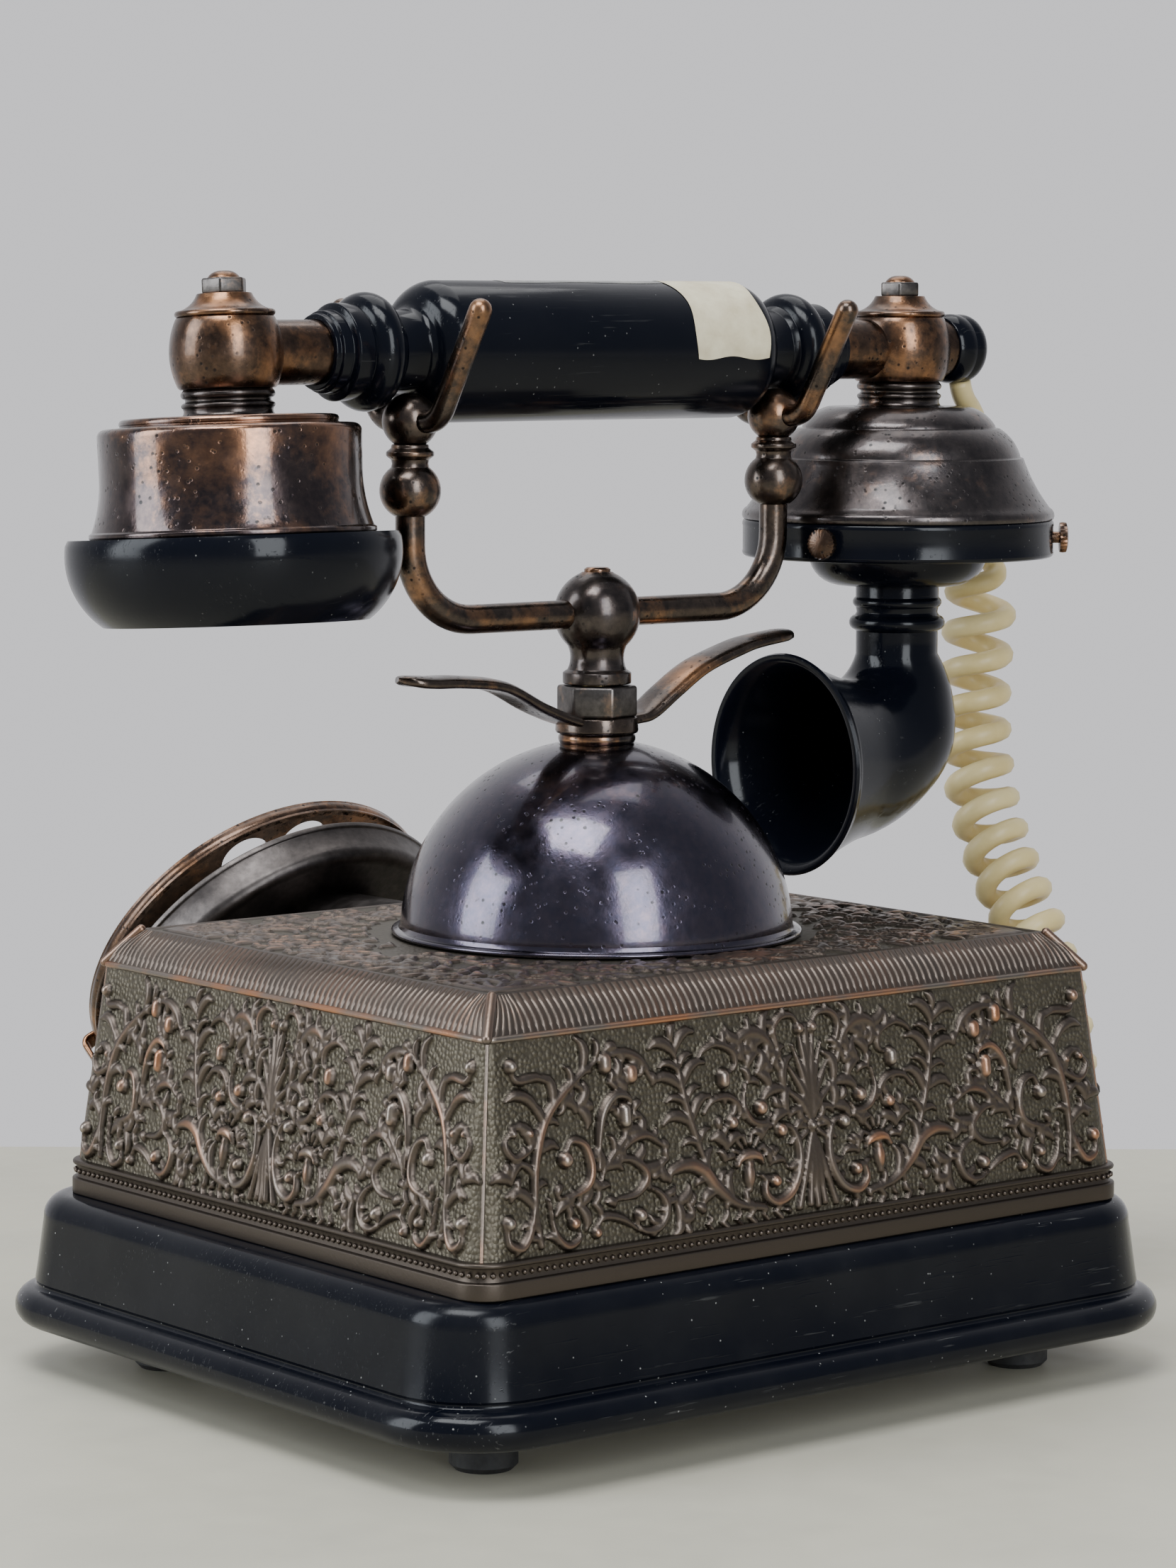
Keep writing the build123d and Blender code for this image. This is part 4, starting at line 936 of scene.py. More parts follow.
@dataclass
class Assembly:
    """What every part shares: the frame's nodes, the middle of the case and the looks."""

    nodes: dict[str, bpy.types.Object]
    base: Matrix
    looks: Finishes

    def spot(self, point: Sequence[float]) -> Vector:
        """A point of the frame, from millimetres."""
        return self.base @ Vector(point)

    def put(self, bm: bmesh.types.BMesh, name: str, body: Body, finish: bpy.types.Material, slot: str,
            place: Matrix = UPRIGHT, replaces: Sequence[str] = (), crease: float = 38.0,
            scaled: bool = False) -> None:
        """Make a piece from a mesh, set it in place and join it to its body.

        Args:
            bm: the mesh, used up here.
            name: the piece's name.
            body: what it rides on.
            finish: its material.
            slot: a material slot name; not used.
            place: where it goes, in millimetres.
            replaces: the nodes it stands for.
            crease: the angle above which an edge stays sharp.
            scaled: whether the mesh is already in the frame's metres.
        """
        if not scaled:
            bmesh.ops.transform(bm, matrix=self.base @ place, verts=bm.verts)
        for edge in bm.edges:
            if len(edge.link_faces) == 2:
                edge.smooth = edge.calc_face_angle(0.0) < math.radians(crease)
        piece = dressed(bm, name, finish)
        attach(piece, body.value)
        if replaces:
            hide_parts(*replaces)
        log.info("%s: %d faces", name, len(piece.data.polygons))

    def finer(self, node: str, body: Body, finish: bpy.types.Material, slot: str) -> None:
        """Put a merged, smoothly shaded copy of a node in place of it.

        Args:
            node: the node.
            body: what it rides on.
            finish: its material.
            slot: a material slot name; not used.
        """
        bm = bmesh.new()
        bm.from_mesh(self.nodes[node].data)
        bmesh.ops.remove_doubles(bm, verts=bm.verts, dist=2e-6)
        self.put(bm, node + "_fine", body, finish, slot, replaces=[node], crease=30.0, scaled=True)

    def finish(self, finish: bpy.types.Material, *names: str) -> None:
        """Give nodes that stay a better material."""
        for name in names:
            mesh = self.nodes[name].data
            mesh.materials.clear()
            mesh.materials.append(finish)


# Studio


@dataclass
class Studio(Assembly):
    """Camera, lights and floor."""

    target: Spot = (1.33, 0.0, 112.07)
    distance: float = 874.0
    azimuth: float = 141.12
    elevation: float = 5.92
    roll: float = 0.13
    lens: float = 106.0
    lit: Spot = (0.0, 0.0, 0.1)
    table_half: Flat = (1.45, 0.8)
    table_far: float = 0.205
    room: Spot = (0.26, 0.275, 0.31)
    wall: Spot = (0.85, 0.845, 0.875)
    below: Spot = (0.62, 0.605, 0.56)

    def camera(self) -> None:
        """Set the camera at the photograph's angle."""
        a, e = math.radians(self.azimuth), math.radians(self.elevation)
        back = Vector((math.sin(a) * math.cos(e), -math.cos(a) * math.cos(e), math.sin(e)))
        right = Vector((-back.y, back.x, 0)).normalized()
        up = back.cross(right)
        grid = Matrix((right, up, back)).transposed().to_4x4() @ turned_by(self.roll, "Z")
        data = bpy.data.cameras.new("view")
        data.lens = self.lens
        data.sensor_width = 36.0
        data.sensor_fit = "AUTO"
        camera = placed("view", data)
        camera.matrix_world = Matrix.Translation(self.spot(self.target) + back * self.distance * MM) @ grid
        bpy.context.scene.camera = camera

    def lamp(self, name: str, spot: Spot, size: Flat, power: float, colour: Spot = (1.0, 1.0, 1.0)) -> None:
        """A soft lamp that faces the telephone.

        Args:
            name: the lamp's name.
            spot: its place in metres.
            size: its width and height in metres.
            power: its strength in watts.
            colour: its colour.
        """
        data = bpy.data.lights.new(name, "AREA")
        data.shape = "RECTANGLE"
        data.size, data.size_y = size
        data.energy = power
        data.color = colour
        lamp = placed(name, data)
        lamp.location = spot
        way = Vector(self.lit) - Vector(spot)
        lamp.rotation_euler = way.to_track_quat("-Z", "Y").to_euler()

    def light(self) -> None:
        """Set the lamps and the surroundings: a pale wall beyond the telephone, a dimmer room before it."""
        self.lamp("window_left", (1.56, -0.62, 0.78), (0.8, 1.45), 31, (0.88, 0.94, 1.0))
        self.lamp("window_right", (0.37, 1.66, 0.78), (0.66, 1.4), 27, (0.90, 0.95, 1.0))
        self.lamp("skylight", (0.54, 0.23, 1.38), (0.8, 0.55), 17, (0.94, 0.97, 1.0))
        self.lamp("ceiling", (-0.35, -0.6, 1.9), (1.4, 1.4), 14)
        world = bpy.data.worlds.new("surroundings")
        world.use_nodes = True
        g = Graph(world.node_tree)
        a = math.radians(self.azimuth)
        way = g.add("ShaderNodeTexCoord").outputs["Generated"]
        facing = g.add("ShaderNodeVectorMath", operation="DOT_PRODUCT")
        facing.inputs[1].default_value = (-math.sin(a), math.cos(a), 0)
        g.wire(way, facing.inputs[0])
        split = g.add("ShaderNodeSeparateXYZ")
        g.wire(way, split.inputs[0])
        room = g.blend(g.span(split.outputs["Z"], -0.06, 0.02), self.below, self.room)
        whole = g.blend(g.span(facing.outputs["Value"], 0.1, 0.7), room, self.wall)
        g.wire(whole, g.tree.nodes["Background"].inputs["Color"])
        bpy.context.scene.world = world

    def floor(self) -> None:
        """Lay the pale table, whose far edge crosses behind the telephone."""
        bm = bmesh.new()
        bmesh.ops.create_grid(bm, x_segments=1, y_segments=1, size=1.0)
        wide, deep = self.table_half
        place = turned_by(self.azimuth, "Z") @ Matrix.Translation((0, self.table_far - deep, 0))
        bmesh.ops.transform(bm, matrix=place @ Matrix.Diagonal((wide, deep, 1, 1)), verts=bm.verts)
        cloth = PlainFinish("pale_table", (0.468, 0.442, 0.354), (0.42, 0.40, 0.325), shine=0.5, dull=0.65,
                            grain=9.0, depth=0.03)
        dressed(bm, "table", cloth.make())


# Handset cord


@dataclass
class HandsetCord(Assembly):
    """The ivory cord: a lead from the handset, a curly run and a lead into the plinth."""

    wire: float = 2.2
    coil: float = 7.65
    upper_pitch: float = 8.4
    lower_pitch: float = 7.2
    first_turn: float = 200.0
    ease: float = 11.0
    steps: int = 26
    top_route: Sequence[Spot] = (
        (-97.6, -3.6, 187.2), (-98.4, -3.8, 184.2), (-102.3, -5.2, 181.6), (-107.0, -7.4, 176.7),
        (-111.4, -10.2, 169.8), (-114.3, -12.8, 161.4), (-115.4, -14.6, 152.0))
    coil_route: Sequence[Spot] = (
        (-114.8, -14.8, 142.6), (-114.0, -15.1, 129.6), (-113.2, -14.8, 116.6), (-112.3, -11.9, 102.9),
        (-111.5, -5.2, 89.5), (-110.8, 4.0, 77.7), (-110.0, 11.8, 64.8), (-109.1, 16.0, 50.9),
        (-108.3, 16.9, 38.9))
    base_route: Sequence[Spot] = (
        (-107.8, 17.2, 30.9), (-103.6, 15.8, 23.9), (-96.8, 13.7, 19.8), (-89.0, 12.2, 19.6))

    def middle(self) -> list[Vector]:
        """Points of the cord's route, read from its NURBS spline.

        Returns:
            The points, none of them double.
        """
        curve = bpy.data.curves.new("route", "CURVE")
        curve.dimensions = "3D"
        curve.resolution_u = 24
        spline = curve.splines.new("NURBS")
        route = [*self.top_route, *self.coil_route, *self.base_route]
        spline.points.add(len(route) - 1)
        for point, spot in zip(spline.points, route):
            point.co = (*spot, 1)
        spline.order_u = 3
        spline.use_endpoint_u = True
        bm = mesh_of(curve)
        spots = [vert.co.copy() for vert in bm.verts]
        bm.free()
        first = spots[0]
        spots = [first] + [spot for spot in spots if (spot - first).length > 0.01]
        return [first] + [b for a, b in zip(spots, spots[1:]) if (b - a).length > 0.01]

    def wound(self) -> list[Vector]:
        """The wire's own line, wound round the route where it is curly.

        Returns:
            The points of the line.
        """
        spots = self.middle()
        far = [0.0]
        for a, b in zip(spots, spots[1:]):
            far.append(far[-1] + (b - a).length)
        first, last = (far[min(range(len(spots)), key=lambda i: (spots[i] - Vector(mark)).length)]
                       for mark in (self.coil_route[0], self.coil_route[-1]))
        swing, reach, ease = self.coil - self.wire, 0.0, self.ease
        side = Vector((1, 0, 0))
        angle, made, index = math.radians(self.first_turn), [], 0
        while reach < far[-1]:
            while index < len(far) - 2 and far[index + 1] < reach:
                index += 1
            share = (reach - far[index]) / max(far[index + 1] - far[index], 1e-9)
            here = spots[index].lerp(spots[index + 1], share)
            way = (spots[index + 1] - spots[index]).normalized()
            side = (side - way * side.dot(way)).normalized()
            start, end = held((reach - first + ease) / ease), held((last - reach + ease) / ease)
            grow = start * start * (3 - 2 * start) * end * end * (3 - 2 * end)
            other = way.cross(side)
            made.append(here + (side * math.cos(angle) + other * math.sin(angle)) * swing * grow)
            down = held((reach - first) / (last - first))
            pitch = self.upper_pitch + (self.lower_pitch - self.upper_pitch) * min(1.0, down * 2)
            step = pitch / self.steps if grow > 0 else 1.0
            angle += math.tau * step / pitch * grow
            reach += step
        if (made[-1] - spots[-1]).length < 0.5:
            made.pop()
        made.append(spots[-1])
        return made

    def build(self) -> None:
        line = self.wound()
        bm = rod(line, self.wire, sides=3)
        path = [self.spot(p) for p in line]
        length = sum((b - a).length for a, b in zip(path, path[1:]))
        bmesh.ops.transform(bm, matrix=self.base, verts=bm.verts)
        cord = dressed(bm, "handset_cord", self.looks.cord)
        self.spot((-110, 15, 52))
        self.spot((-110, 15, 172))
        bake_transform(cord)
        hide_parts("cord_lead_top", "curly_cord", "cord_lead_base")
        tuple(path[0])
        log.info("handset cord: %.3f m of wire", length)


# Case ornament


class Relief:
    """Raised ornament on a flat panel, kept as short tapering strokes in millimetres."""

    leaf_height: float = 0.95
    reach: float = 1.55
    spread: float = 33.0
    thinning: float = 0.68

    def __init__(self, swell: float = 1.4) -> None:
        """Start with a bare panel.

        Args:
            swell: how much fuller every stroke is than its stated width.
        """
        self.swell = swell
        self.strokes: list[tuple[float, ...]] = []

    def stroke(self, points: Sequence[Flat], width: float, height: float, start: float = 0.6,
               end: float = 0.4, steps: int = 6) -> None:
        """A raised line that swells in its middle.

        Args:
            points: where it runs.
            width: half its width at its fullest.
            height: how far it stands up.
            start: its share of the width at the start.
            end: its share of the width at the end.
            steps: how many pieces each run has.
        """
        line = smooth_line([(x, z) for x, z in points], steps)
        count = len(line) - 1
        shares = []
        for i in range(count + 1):
            t = i / count
            shares.append(max(math.sin(math.pi * t) ** 0.6, start * (1 - t) + end * t))
        for a, b, p, q in zip(line, line[1:], shares, shares[1:]):
            self.strokes.append((a.x, a.y, b.x, b.y, width * self.swell * p, width * self.swell * q,
                                 height * (0.5 + 0.5 * p), height * (0.5 + 0.5 * q)))

    def ball(self, x: float, z: float, radius: float, height: float, stretch: float = 0.0) -> None:
        """A raised bead, longer up and down where stretched."""
        self.strokes.append((x, z - stretch, x, z + stretch + 1e-4, radius, radius, height, height))

    def leaf(self, x: float, z: float, angle: float, length: float, width: float, curl: float = 1.0) -> None:
        """A long leaf that leaves a point at an angle and turns away from its stem.

        Args:
            x: across.
            z: up.
            angle: the direction in degrees.
            length: from the stem to the tip.
            width: half the width at the fullest.
            curl: which way the tip turns, and how much.
        """
        spot, points = Vector((x, z)), [(x, z)]
        for turn in (-4, 12, 40, 74):
            a = math.radians(angle + turn * curl)
            spot += Vector((math.cos(a), math.sin(a))) * length * 0.28
            points.append(tuple(spot))
        self.stroke(points, width, self.leaf_height, 0.5, 0.4, 2)

    def frond(self, points: Sequence[Flat], count: int, length: float, sides: Sequence[int] = (-1, 1),
              width: float = 0.7) -> None:
        """Leaves along both sides of a stem.

        Args:
            points: the stem.
            count: how many leaves each side has.
            length: the longest leaf.
            sides: which sides have leaves.
            width: half the width of a leaf.
        """
        line = smooth_line([(x, z) for x, z in points], 10)
        count = max(2, round(count * self.thinning))
        for side in sides:
            for i in range(count):
                t = (i + 0.5) / count
                at = line[int(t * (len(line) - 2))]
                ahead = line[int(t * (len(line) - 2)) + 1]
                angle = math.degrees(math.atan2(ahead.y - at.y, ahead.x - at.x))
                full = 1.2 if i % 2 else 0.8
                size = full * self.reach * length * (0.6 + 0.4 * math.sin(math.pi * (0.15 + 0.7 * t)))
                self.leaf(at.x, at.y, angle + side * self.spread, size, width * full, side)
        self.leaf(line[-1].x, line[-1].y, angle, length * 0.8, width)

    def fan(self, x: float, z: float, first: float, last: float, count: int, length: float,
            width: float = 0.5, start: float = 0.0) -> None:
        """Leaves that spread from one point.

        Args:
            x: across.
            z: up.
            first: the first angle in degrees.
            last: the last angle.
            count: how many leaves.
            length: how long each is.
            width: half the width of each.
            start: how far from the point they begin.
        """
        for i in range(count):
            angle = first + (last - first) * i / max(count - 1, 1)
            a = math.radians(angle)
            self.stroke([(x + start * math.cos(a), z + start * math.sin(a)),
                         (x + length * math.cos(a), z + length * math.sin(a))], width, 0.8, 0.3, 0.9, 3)

    def mirrored(self) -> None:
        """Repeat every stroke on the other side of the middle."""
        self.strokes += [(-ax, az, -bx, bz, *rest) for ax, az, bx, bz, *rest in self.strokes]

    def heights(self, x: np.ndarray, z: np.ndarray) -> np.ndarray:
        """The height of the ornament at many points.

        Args:
            x: how far across each point is.
            z: how far up each point is.

        Returns:
            How far the ornament stands up at each.
        """
        order = np.argsort(x)
        xs, zs = x[order], z[order]
        made = np.zeros(len(xs))
        for ax, az, bx, bz, wa, wb, ha, hb in self.strokes:
            reach = max(wa, wb)
            low, high = np.searchsorted(xs, (min(ax, bx) - reach, max(ax, bx) + reach))
            if low == high:
                continue
            px, pz = xs[low:high], zs[low:high]
            near = np.nonzero((pz > min(az, bz) - reach) & (pz < max(az, bz) + reach))[0]
            if not len(near):
                continue
            px, pz = px[near] - ax, pz[near] - az
            dx, dz = bx - ax, bz - az
            t = np.clip((px * dx + pz * dz) / (dx * dx + dz * dz + 1e-9), 0, 1)
            away = np.hypot(px - t * dx, pz - t * dz)
            width = wa + (wb - wa) * t
            rise = (ha + (hb - ha) * t) * np.sqrt(np.clip(1 - (away / width) ** 2, 0, 1))
            made[low + near] = np.maximum(made[low + near], rise)
        back = np.empty_like(made)
        back[order] = made
        return back


def panel_ornament() -> Relief:
    """The foliage of a side panel: a tied plume, facing scrolls, hooded buds, vines and corner leaves.

    Returns:
        The ornament of one panel.
    """
    relief = Relief()
    stroke, ball, frond, fan = relief.stroke, relief.ball, relief.frond, relief.fan
    # Tied plume and its tail
    fan(0, 55.5, 90, 90, 1, 17.5, 0.75)
    for tip in ((1.9, 73.5), (3.4, 70.0), (4.6, 66.3), (5.9, 62.6)):
        stroke([(0.2, 56.0), (tip[0] * 0.35, 56 + (tip[1] - 56) * 0.55), tip], 0.62, 0.95, 0.3, 0.5)
    frond([(0.3, 56.5), (3.9, 60.5), (8.0, 64.8), (9.2, 68.5)], 5, 3.4)
    frond([(0.3, 56.0), (4.0, 57.4), (7.2, 59.5)], 3, 2.6)
    ball(0, 55.4, 1.1, 1.3)
    for end in ((0.0, 41.2), (1.7, 41.6), (4.4, 41.3)):
        stroke([(0.2, 54.8), (end[0] * 0.45 + 0.2, 48.0), end], 0.66, 1.0, 0.4, 0.9)
    fan(0, 55.4, -35, 35, 3, 3.6, 0.5, 0.8)
    # Facing scrolls over the plume
    ball(1.6, 72.9, 1.2, 1.4)
    stroke([(1.6, 73.6), (3.2, 75.3), (6.0, 75.3), (7.8, 73.4), (7.2, 70.4), (6.2, 67.2)], 0.62, 1.1)
    frond([(7.2, 66.5), (8.3, 70.6), (11.2, 72.6), (14.2, 73.0), (16.6, 71.6)], 6, 2.7)
    stroke([(7.2, 66.5), (8.6, 70.4), (11.2, 72.8), (14.2, 73.2), (16.4, 72.0), (15.6, 70.6)], 0.9, 1.1)
    # Standing scroll with its two balls
    ball(7.6, 55.4, 1.45, 1.7)
    stroke([(7.4, 55.9), (5.2, 55.6), (3.7, 52.6), (3.8, 48.4), (6.2, 44.2), (9.8, 42.8), (12.2, 44.6),
            (11.6, 47.2), (9.9, 47.0)], 0.78, 1.25)
    ball(9.8, 46.6, 1.3, 1.6)
    # Hooded bud
    stroke([(18.4, 50.3), (17.4, 51.5), (15.5, 51.9), (13.4, 51.3), (12.5, 50.1)], 0.85, 1.4)
    stroke([(15.6, 50.2), (15.7, 48.4), (15.8, 45.7)], 1.0, 1.25, 0.8, 0.5)
    fan(15.5, 51.4, 24, 156, 6, 4.0, 0.42, 1.9)
    # Low arm and the tall vine
    stroke([(12.9, 42.2), (19.0, 43.6), (23.5, 47.0), (26.2, 50.2), (29.8, 51.6), (33.6, 50.9), (34.2, 49.4)],
           1.05, 1.2)
    frond([(14.5, 42.4), (20.5, 44.8), (24.6, 48.6), (29.5, 51.0)], 7, 3.0, (1,))
    frond([(18.0, 43.4), (24.0, 46.4), (28.0, 50.4)], 4, 2.0, (-1,))
    stroke([(24.8, 49.5), (26.8, 54.4), (29.0, 60.9), (30.4, 67.3), (31.4, 72.6)], 0.62, 1.0)
    frond([(26.2, 53.0), (28.8, 60.4), (30.4, 67.3), (31.6, 73.4)], 9, 3.9)
    frond([(21.5, 50.2), (20.4, 53.8), (21.6, 57.2)], 4, 2.2)
    # Scrolls between the plume and the vine
    ball(20.3, 65.8, 1.4, 1.6, 0.5)
    stroke([(20.2, 66.4), (17.4, 67.6), (17.8, 70.4), (21.4, 72.0), (24.4, 71.2), (26.2, 69.4)], 0.6, 1.05)
    ball(12.0, 59.8, 1.5, 1.7)
    stroke([(15.2, 64.2), (15.9, 60.8), (14.4, 57.8), (11.2, 56.9), (9.5, 58.6)], 0.62, 1.05)
    frond([(15.4, 63.6), (13.4, 65.6), (10.6, 66.4)], 3, 2.4)
    ball(19.0, 57.9, 1.35, 1.6)
    stroke([(25.2, 60.2), (23.0, 62.2), (19.4, 62.4), (16.9, 60.2), (17.9, 57.2)], 0.6, 1.05)
    # Long hooked scroll and its vine
    stroke([(49.9, 53.2), (49.4, 58.5), (48.2, 62.8), (45.4, 65.4), (42.2, 64.6), (42.6, 62.6)], 0.72, 1.25)
    ball(43.6, 61.8, 1.4, 1.75, 1.0)
    frond([(50.6, 48.4), (48.4, 53.7), (43.6, 58.3), (41.2, 62.4)], 7, 2.5)
    stroke([(50.6, 48.4), (48.2, 53.7), (43.4, 58.3), (40.4, 63.6)], 0.5, 0.95)
    stroke([(45.8, 54.6), (42.4, 57.3), (38.6, 57.8), (34.6, 55.2)], 0.72, 1.1)
    frond([(45.0, 55.6), (40.8, 57.6), (35.6, 56.2)], 5, 2.2, (-1,))
    # Spiral beside the corner vine
    ball(57.3, 55.6, 1.6, 1.8)
    stroke([(57.2, 56.6), (55.6, 58.6), (52.8, 57.6), (51.6, 53.8), (52.6, 50.8), (55.6, 49.4), (59.2, 49.2)],
           0.74, 1.25)
    # Corner vine with leaves outside and bulbs at the top
    spine = [(63.6, 41.6), (64.4, 48.4), (63.7, 55.9), (61.4, 62.3), (57.6, 66.4), (52.6, 69.8), (47.6, 72.4)]
    stroke(spine, 0.8, 1.15)
    frond(spine[:5], 9, 4.0, (-1,))
    frond(spine[1:6], 8, 2.9, (1,))
    frond([(56.6, 66.8), (52.0, 70.6), (46.8, 73.4)], 5, 3.2, (-1,))
    ball(47.2, 71.2, 1.5, 1.5, 0.6)
    ball(41.5, 68.8, 1.6, 1.5, 0.4)
    stroke([(47.6, 72.2), (43.4, 72.6), (39.0, 70.8), (36.6, 66.8)], 0.75, 1.0)
    frond([(46.0, 73.0), (41.0, 72.4), (37.0, 68.4)], 4, 2.4, (1,))
    ball(68.0, 72.6, 1.35, 1.6)
    stroke([(68.2, 71.8), (66.6, 70.0), (62.4, 70.2), (58.6, 68.4)], 0.66, 1.1)
    stroke([(69.6, 66.8), (67.2, 67.6), (64.2, 66.4), (61.4, 62.6)], 0.8, 1.1, 0.3, 0.8)
    stroke([(68.9, 61.3), (70.2, 59.4), (68.2, 57.0), (64.6, 58.4), (64.2, 60.6)], 0.6, 1.05)
    ball(68.4, 61.2, 0.95, 1.3)
    ball(64.8, 60.9, 0.95, 1.3)
    ball(70.4, 46.2, 1.4, 1.65)
    stroke([(70.9, 45.2), (70.4, 42.6), (67.7, 41.9), (65.4, 45.4), (64.4, 50.0)], 0.75, 1.2)
    # Low scrolls
    ball(56.2, 44.6, 1.3, 1.5)
    stroke([(61.4, 49.2), (60.5, 43.6), (58.0, 40.9), (55.3, 41.9), (55.4, 44.0)], 0.62, 1.1)
    ball(51.4, 42.4, 1.15, 1.4)
    stroke([(51.3, 43.2), (49.4, 44.9), (45.4, 44.0), (41.8, 41.6)], 0.62, 1.05)
    ball(41.4, 44.2, 1.4, 1.65)
    stroke([(40.6, 49.4), (36.7, 47.6), (35.3, 44.7), (37.2, 41.7), (40.6, 41.4), (42.5, 43.2)], 0.66, 1.15)
    frond([(59.2, 48.6), (54.6, 47.4), (48.6, 47.4)], 5, 2.5)
    stroke([(48.2, 53.4), (43.0, 54.2), (39.3, 51.2), (41.8, 48.0), (48.8, 47.4)], 0.7, 1.1)
    frond([(47.2, 53.8), (42.0, 53.6), (39.6, 50.6)], 4, 2.0, (-1,))
    frond([(36.6, 48.2), (32.8, 45.4), (28.1, 44.1)], 4, 2.3)
    frond([(36.4, 47.2), (33.4, 44.2), (31.0, 41.0)], 3, 2.0)
    frond([(27.6, 40.7), (21.0, 40.7), (14.0, 41.0), (8.0, 41.2)], 9, 1.7, (-1, 1), 0.42)
    # Leaves along the backs of the scrolls
    frond([(5.2, 55.6), (3.9, 52.0), (4.1, 47.6), (6.6, 43.8)], 5, 1.8, (1,), 0.5)
    frond([(12.2, 44.6), (11.2, 48.4), (9.8, 51.0)], 3, 2.2, (-1, 1), 0.5)
    frond([(3.2, 75.0), (6.2, 75.4), (8.0, 73.2)], 3, 1.6, (1,), 0.5)
    frond([(63.9, 42.0), (60.6, 44.6), (59.4, 49.6)], 3, 2.4, (1,))
    frond([(52.2, 57.4), (51.4, 53.8), (52.6, 50.4), (56.4, 49.0)], 5, 1.9, (-1,), 0.5)
    frond([(49.3, 58.5), (48.2, 62.8), (45.2, 65.6)], 4, 1.9, (1,), 0.5)
    frond([(68.0, 57.0), (65.6, 57.6), (63.8, 60.2)], 3, 1.7, (-1,), 0.5)
    frond([(70.2, 43.0), (67.6, 41.8), (65.2, 44.6)], 3, 1.6, (1,), 0.5)
    frond([(17.2, 67.9), (17.8, 70.6), (21.2, 72.2)], 3, 1.7, (1,), 0.5)
    frond([(15.8, 61.4), (14.2, 57.6), (11.0, 56.7)], 3, 1.7, (1,), 0.5)
    frond([(23.0, 62.4), (19.2, 62.6), (16.8, 60.0)], 3, 1.7, (1,), 0.5)
    frond([(35.6, 47.0), (35.4, 44.0), (38.0, 41.2)], 3, 1.8, (1,), 0.5)
    frond([(58.6, 67.6), (55.2, 64.6), (52.4, 64.4)], 3, 2.6)
    frond([(47.2, 67.6), (44.0, 68.4)], 2, 2.0)
    frond([(33.2, 52.6), (35.4, 53.4), (36.6, 51.6)], 2, 2.2)
    frond([(8.6, 66.4), (10.6, 69.0), (13.6, 70.0)], 3, 2.2)
    frond([(9.4, 49.6), (11.6, 53.4), (12.2, 56.0)], 3, 1.6, (-1, 1), 0.45)
    frond([(66.4, 50.4), (68.8, 52.0), (69.8, 54.4)], 3, 2.2)
    relief.mirrored()
    return relief


def top_ornament(half_x: float, half_y: float) -> Relief:
    """Low foliage over the top of the case: corner plumes, edge scrolls and vines between them.

    Args:
        half_x: half the length of the top.
        half_y: half its width.

    Returns:
        The ornament of the whole top.
    """
    relief = Relief(1.3)
    stroke, ball, frond, fan = relief.stroke, relief.ball, relief.frond, relief.fan
    x, y = half_x, half_y
    fan(x - 3, y - 3, 180, 270, 7, 14, 0.7)
    frond([(x - 4, y - 4), (x - 15, y - 13), (x - 25, y - 16)], 8, 5.0)
    for run in (0.0, 1.0):
        wide, deep = (x, y) if run else (y, x)

        def lay(points: Sequence[Flat], swap: bool = not run) -> list[Flat]:
            """The points, with across and up changed over for the short edge."""
            return [(b, a) if swap else (a, b) for a, b in points]

        edge = deep - 4.5
        for step in range(4):
            at = 6 + step * (wide - 20) / 3.4
            frond(lay([(at - 5, edge - 7), (at, edge - 2), (at + 5, edge)]), 5, 3.2)
            stroke(lay([(at - 4, edge - 9), (at + 2, edge - 10), (at + 4, edge - 6), (at + 1, edge - 4),
                        (at - 1, edge - 6)]), 0.7, 0.8)
            frond(lay([(at + 4, edge - 12), (at - 2, edge - 9), (at - 6, edge - 3)]), 4, 2.6)
            ball(*lay([(at, edge - 6)])[0], 1.1, 0.9)
        frond(lay([(0, edge - 12), (0, edge - 6), (0, edge)]), 6, 4.2)
    for i in range(9):
        a = math.radians(6 + 10 * i)
        r, far = 41.5, 49.5 + 5 * math.sin(3 * a)
        run = ((r, a), (0.5 * (r + far), a + 0.1), (far, a + 0.05))
        frond([(out * math.cos(turn), out * math.sin(turn)) for out, turn in run], 4, 3.2)
        ball(47 * math.cos(a + 0.09), 47 * math.sin(a + 0.09), 1.1, 0.8)
    margin = 1.2
    relief.strokes = [s for s in relief.strokes if max(abs(s[0]), abs(s[2])) < x - margin
                      and max(abs(s[1]), abs(s[3])) < y - margin]
    relief.mirrored()
    relief.strokes += [(ax, -az, bx, -bz, *rest) for ax, az, bx, bz, *rest in relief.strokes]
    return relief


